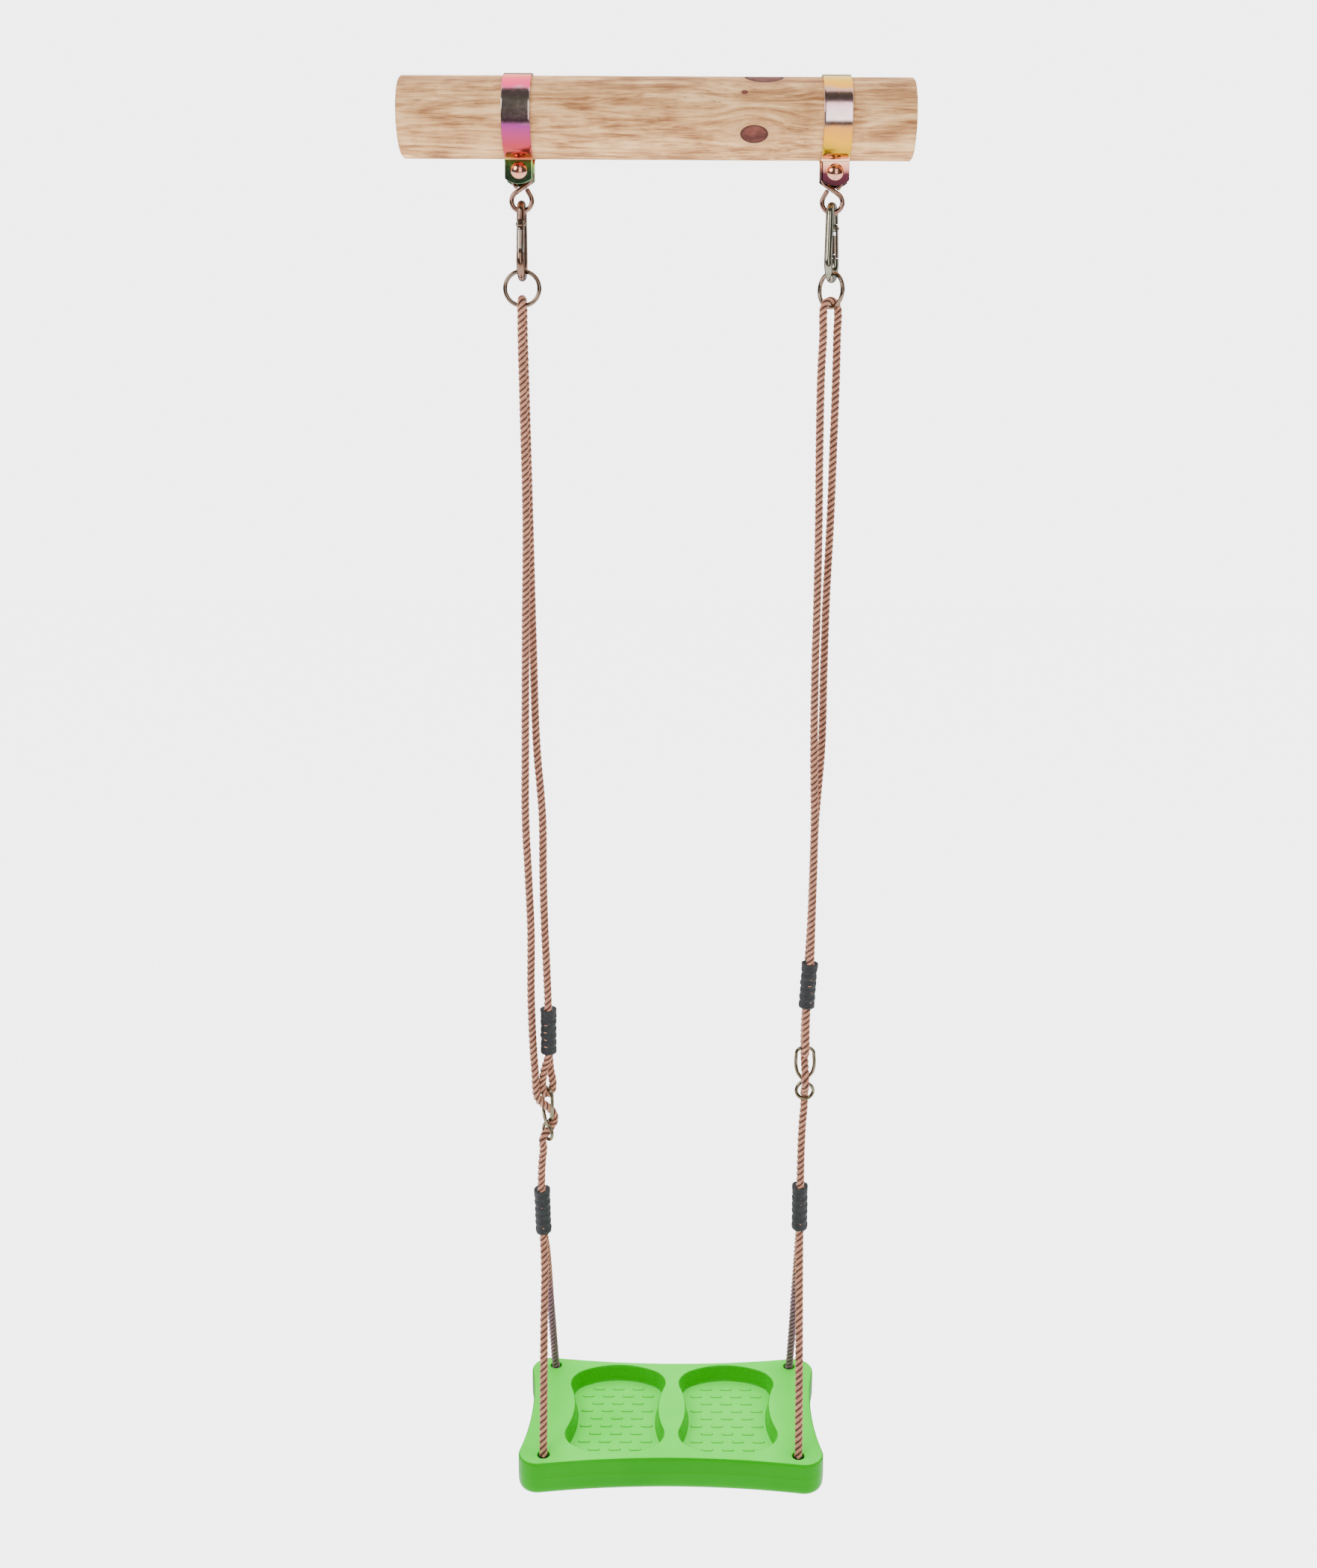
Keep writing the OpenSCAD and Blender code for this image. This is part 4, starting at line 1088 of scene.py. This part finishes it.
def board_loop(inset, z):
    return [(p.x, p.y, z) for p in waisted(CORNER, CORNER_R, WAIST, BELLY, inset)]


def well_loop(sign, inset, z):
    return [(sign * WELL_X + p.x, WELL_Y + p.y, z)
            for p in waisted(WELL_CORNER, WELL_CORNER_R, WELL_WAIST, WELL_END, inset)]


def hole_loop(x, y, r, z):
    count = 32
    return [(x + r * math.cos(2 * math.pi * i / count),
             y + r * math.sin(2 * math.pi * i / count), z) for i in range(count)]


def groove_loop(sign, z):
    """Outline of a rope groove: straight sides, with a round opening at each hole."""
    ends = HOLE_R + 0.05
    start = math.degrees(math.asin(GROOVE_HALF / ends))
    top = arc_points((sign * HOLE_X, HOLE_Y), ends, start - 90, 270 - start, 20)
    bottom = arc_points((sign * HOLE_X, -HOLE_Y), ends, start + 90, 450 - start, 20)
    return [(x, y, z) for x, y in top + bottom]


def flat_face(bm, outer, inner, z, up):
    """A level face inside the outer loop and outside the inner ones."""
    loops = [outer] + list(inner)
    coords, edges = [], []
    for loop in loops:
        first = len(coords)
        coords.extend(Vector((p[0], p[1])) for p in loop)
        edges.extend((first + i, first + (i + 1) % len(loop)) for i in range(len(loop)))
    points, _, triangles, _, _, _ = delaunay_2d_cdt(coords, edges, [], 0, 1e-6)
    made = [bm.verts.new((p.x, p.y, z)) for p in points]

    def inside(x, y, loop):
        odd = False
        for (x0, y0, _), (x1, y1, _) in zip(loop, loop[1:] + loop[:1]):
            if (y0 > y) != (y1 > y) and x < (x1 - x0) * (y - y0) / (y1 - y0) + x0:
                odd = not odd
        return odd

    for tri in triangles:
        cx = sum(points[i].x for i in tri) / 3
        cy = sum(points[i].y for i in tri) / 3
        if inside(cx, cy, outer) and not any(inside(cx, cy, loop) for loop in inner):
            corners = [made[i] for i in tri]
            face = bm.faces.new(corners if up else corners[::-1])
            face.smooth = False


def wall(bm, loops, outward=True):
    """Faces between one loop and the next, all with the same number of points."""
    rows = [[bm.verts.new(p) for p in loop] for loop in loops]
    for upper, lower in zip(rows, rows[1:]):
        for i in range(len(upper)):
            j = (i + 1) % len(upper)
            quad = (upper[i], lower[i], lower[j], upper[j])
            face = bm.faces.new(quad if outward else quad[::-1])
            face.smooth = True


def grip_bar(bm, x, y, z):
    """Low bar with round ends and a rounded top edge."""
    half = (BAR_L - BAR_W) / 2
    loops = []
    for inset, h in ((-0.5, -0.2), (-0.2, 0.15), (0.25, 0.62), (0.8, 1.08), (1.5, 1.39),
                     (2.3, 1.5)):
        loops.append([(x + end * half + px, y + py, z + h * BAR_H / 1.5) for end in (1, -1)
                      for px, py in arc_points((0, 0), BAR_W / 2 - inset, -90 * end,
                                               180 - 90 * end, 8)])
    rows = [[bm.verts.new(p) for p in loop] for loop in loops]
    for lower, upper in zip(rows, rows[1:]):
        for i in range(len(lower)):
            j = (i + 1) % len(lower)
            bm.faces.new((lower[i], lower[j], upper[j], upper[i])).smooth = True
    bm.faces.new(rows[-1]).smooth = True


def make_board():
    bm = bmesh.new()
    t = float(BOARD_T)
    # rim, from the top face over its rounded edge, down the side and under
    rim = [(3.6, 0.0), (2.2, -0.22), (1.2, -0.75), (0.5, -1.6), (0.12, -2.6), (0.0, -3.8),
           (0.0, -12.0), (0.0, -20.6), (-0.06, -21.2), (-0.06, -21.8), (0.0, -22.4),
           (0.1, -30.0), (0.3, -35.0), (0.9, -38.2), (2.1, -40.8), (3.9, -42.4), (6.2, -t)]
    wall(bm, [board_loop(i, z) for i, z in rim])
    # wells: rounded lip, drafted wall, rounded foot
    lip = [(-2.4, 0.0), (-1.5, -0.18), (-0.7, -0.65), (-0.15, -1.5), (0.25, -2.8)]
    foot = [(1.9, -WELL_DEPTH + 5.0), (2.3, -WELL_DEPTH + 2.9), (3.2, -WELL_DEPTH + 1.3),
            (4.5, -WELL_DEPTH + 0.35), (6.2, -WELL_DEPTH)]
    for sign in (-1, 1):
        wall(bm, [well_loop(sign, i, z) for i, z in lip + foot], outward=False)
        flat_face(bm, well_loop(sign, 6.2, 0), [], -WELL_DEPTH, True)
        for row in range(10):
            count = 4 if row % 2 == 0 else 3
            for k in range(count):
                grip_bar(bm, sign * WELL_X + (k - (count - 1) / 2) * BAR_PITCH,
                         WELL_Y + (row - 4.5) * BAR_ROW, -WELL_DEPTH)
    # rope holes: countersunk lip, then straight down into the groove
    groove_roof = -t + GROOVE_DEPTH
    holes = []
    for sx in (-1, 1):
        for sy in (-1, 1):
            x, y = sx * HOLE_X, sy * HOLE_Y
            holes.append(hole_loop(x, y, HOLE_R + 1.6, 0))
            wall(bm, [hole_loop(x, y, r, z) for r, z in (
                (HOLE_R + 1.6, 0), (HOLE_R + 0.8, -0.3), (HOLE_R + 0.25, -0.9),
                (HOLE_R, -1.9), (HOLE_R, groove_roof - 6))], outward=False)
    flat_face(bm, board_loop(rim[0][0], 0), [well_loop(-1, lip[0][0], 0),
              well_loop(1, lip[0][0], 0)] + holes, 0, True)
    # underside, with the two rope grooves
    grooves = [groove_loop(s, 0) for s in (-1, 1)]
    for sign, loop in zip((-1, 1), grooves):
        wall(bm, [groove_loop(sign, z) for z in (groove_roof, -t)], outward=False)
        flat_face(bm, loop, [hole_loop(sign * HOLE_X, s * HOLE_Y, HOLE_R, 0) for s in (-1, 1)],
                  groove_roof, False)
    flat_face(bm, board_loop(rim[-1][0], 0), grooves, -t, False)
    bmesh.ops.remove_doubles(bm, verts=bm.verts, dist=0.004)
    bmesh.ops.translate(bm, verts=bm.verts, vec=(0, 0, BOARD_TOP))
    bmesh.ops.scale(bm, verts=bm.verts, vec=(MM, MM, MM))
    mesh = bpy.data.meshes.new("footboard_moulding")
    bm.to_mesh(mesh)
    bm.free()
    piece = add_piece("footboard_moulding", mesh, BOARD, "footboard")
    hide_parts("footboard")


make_board()
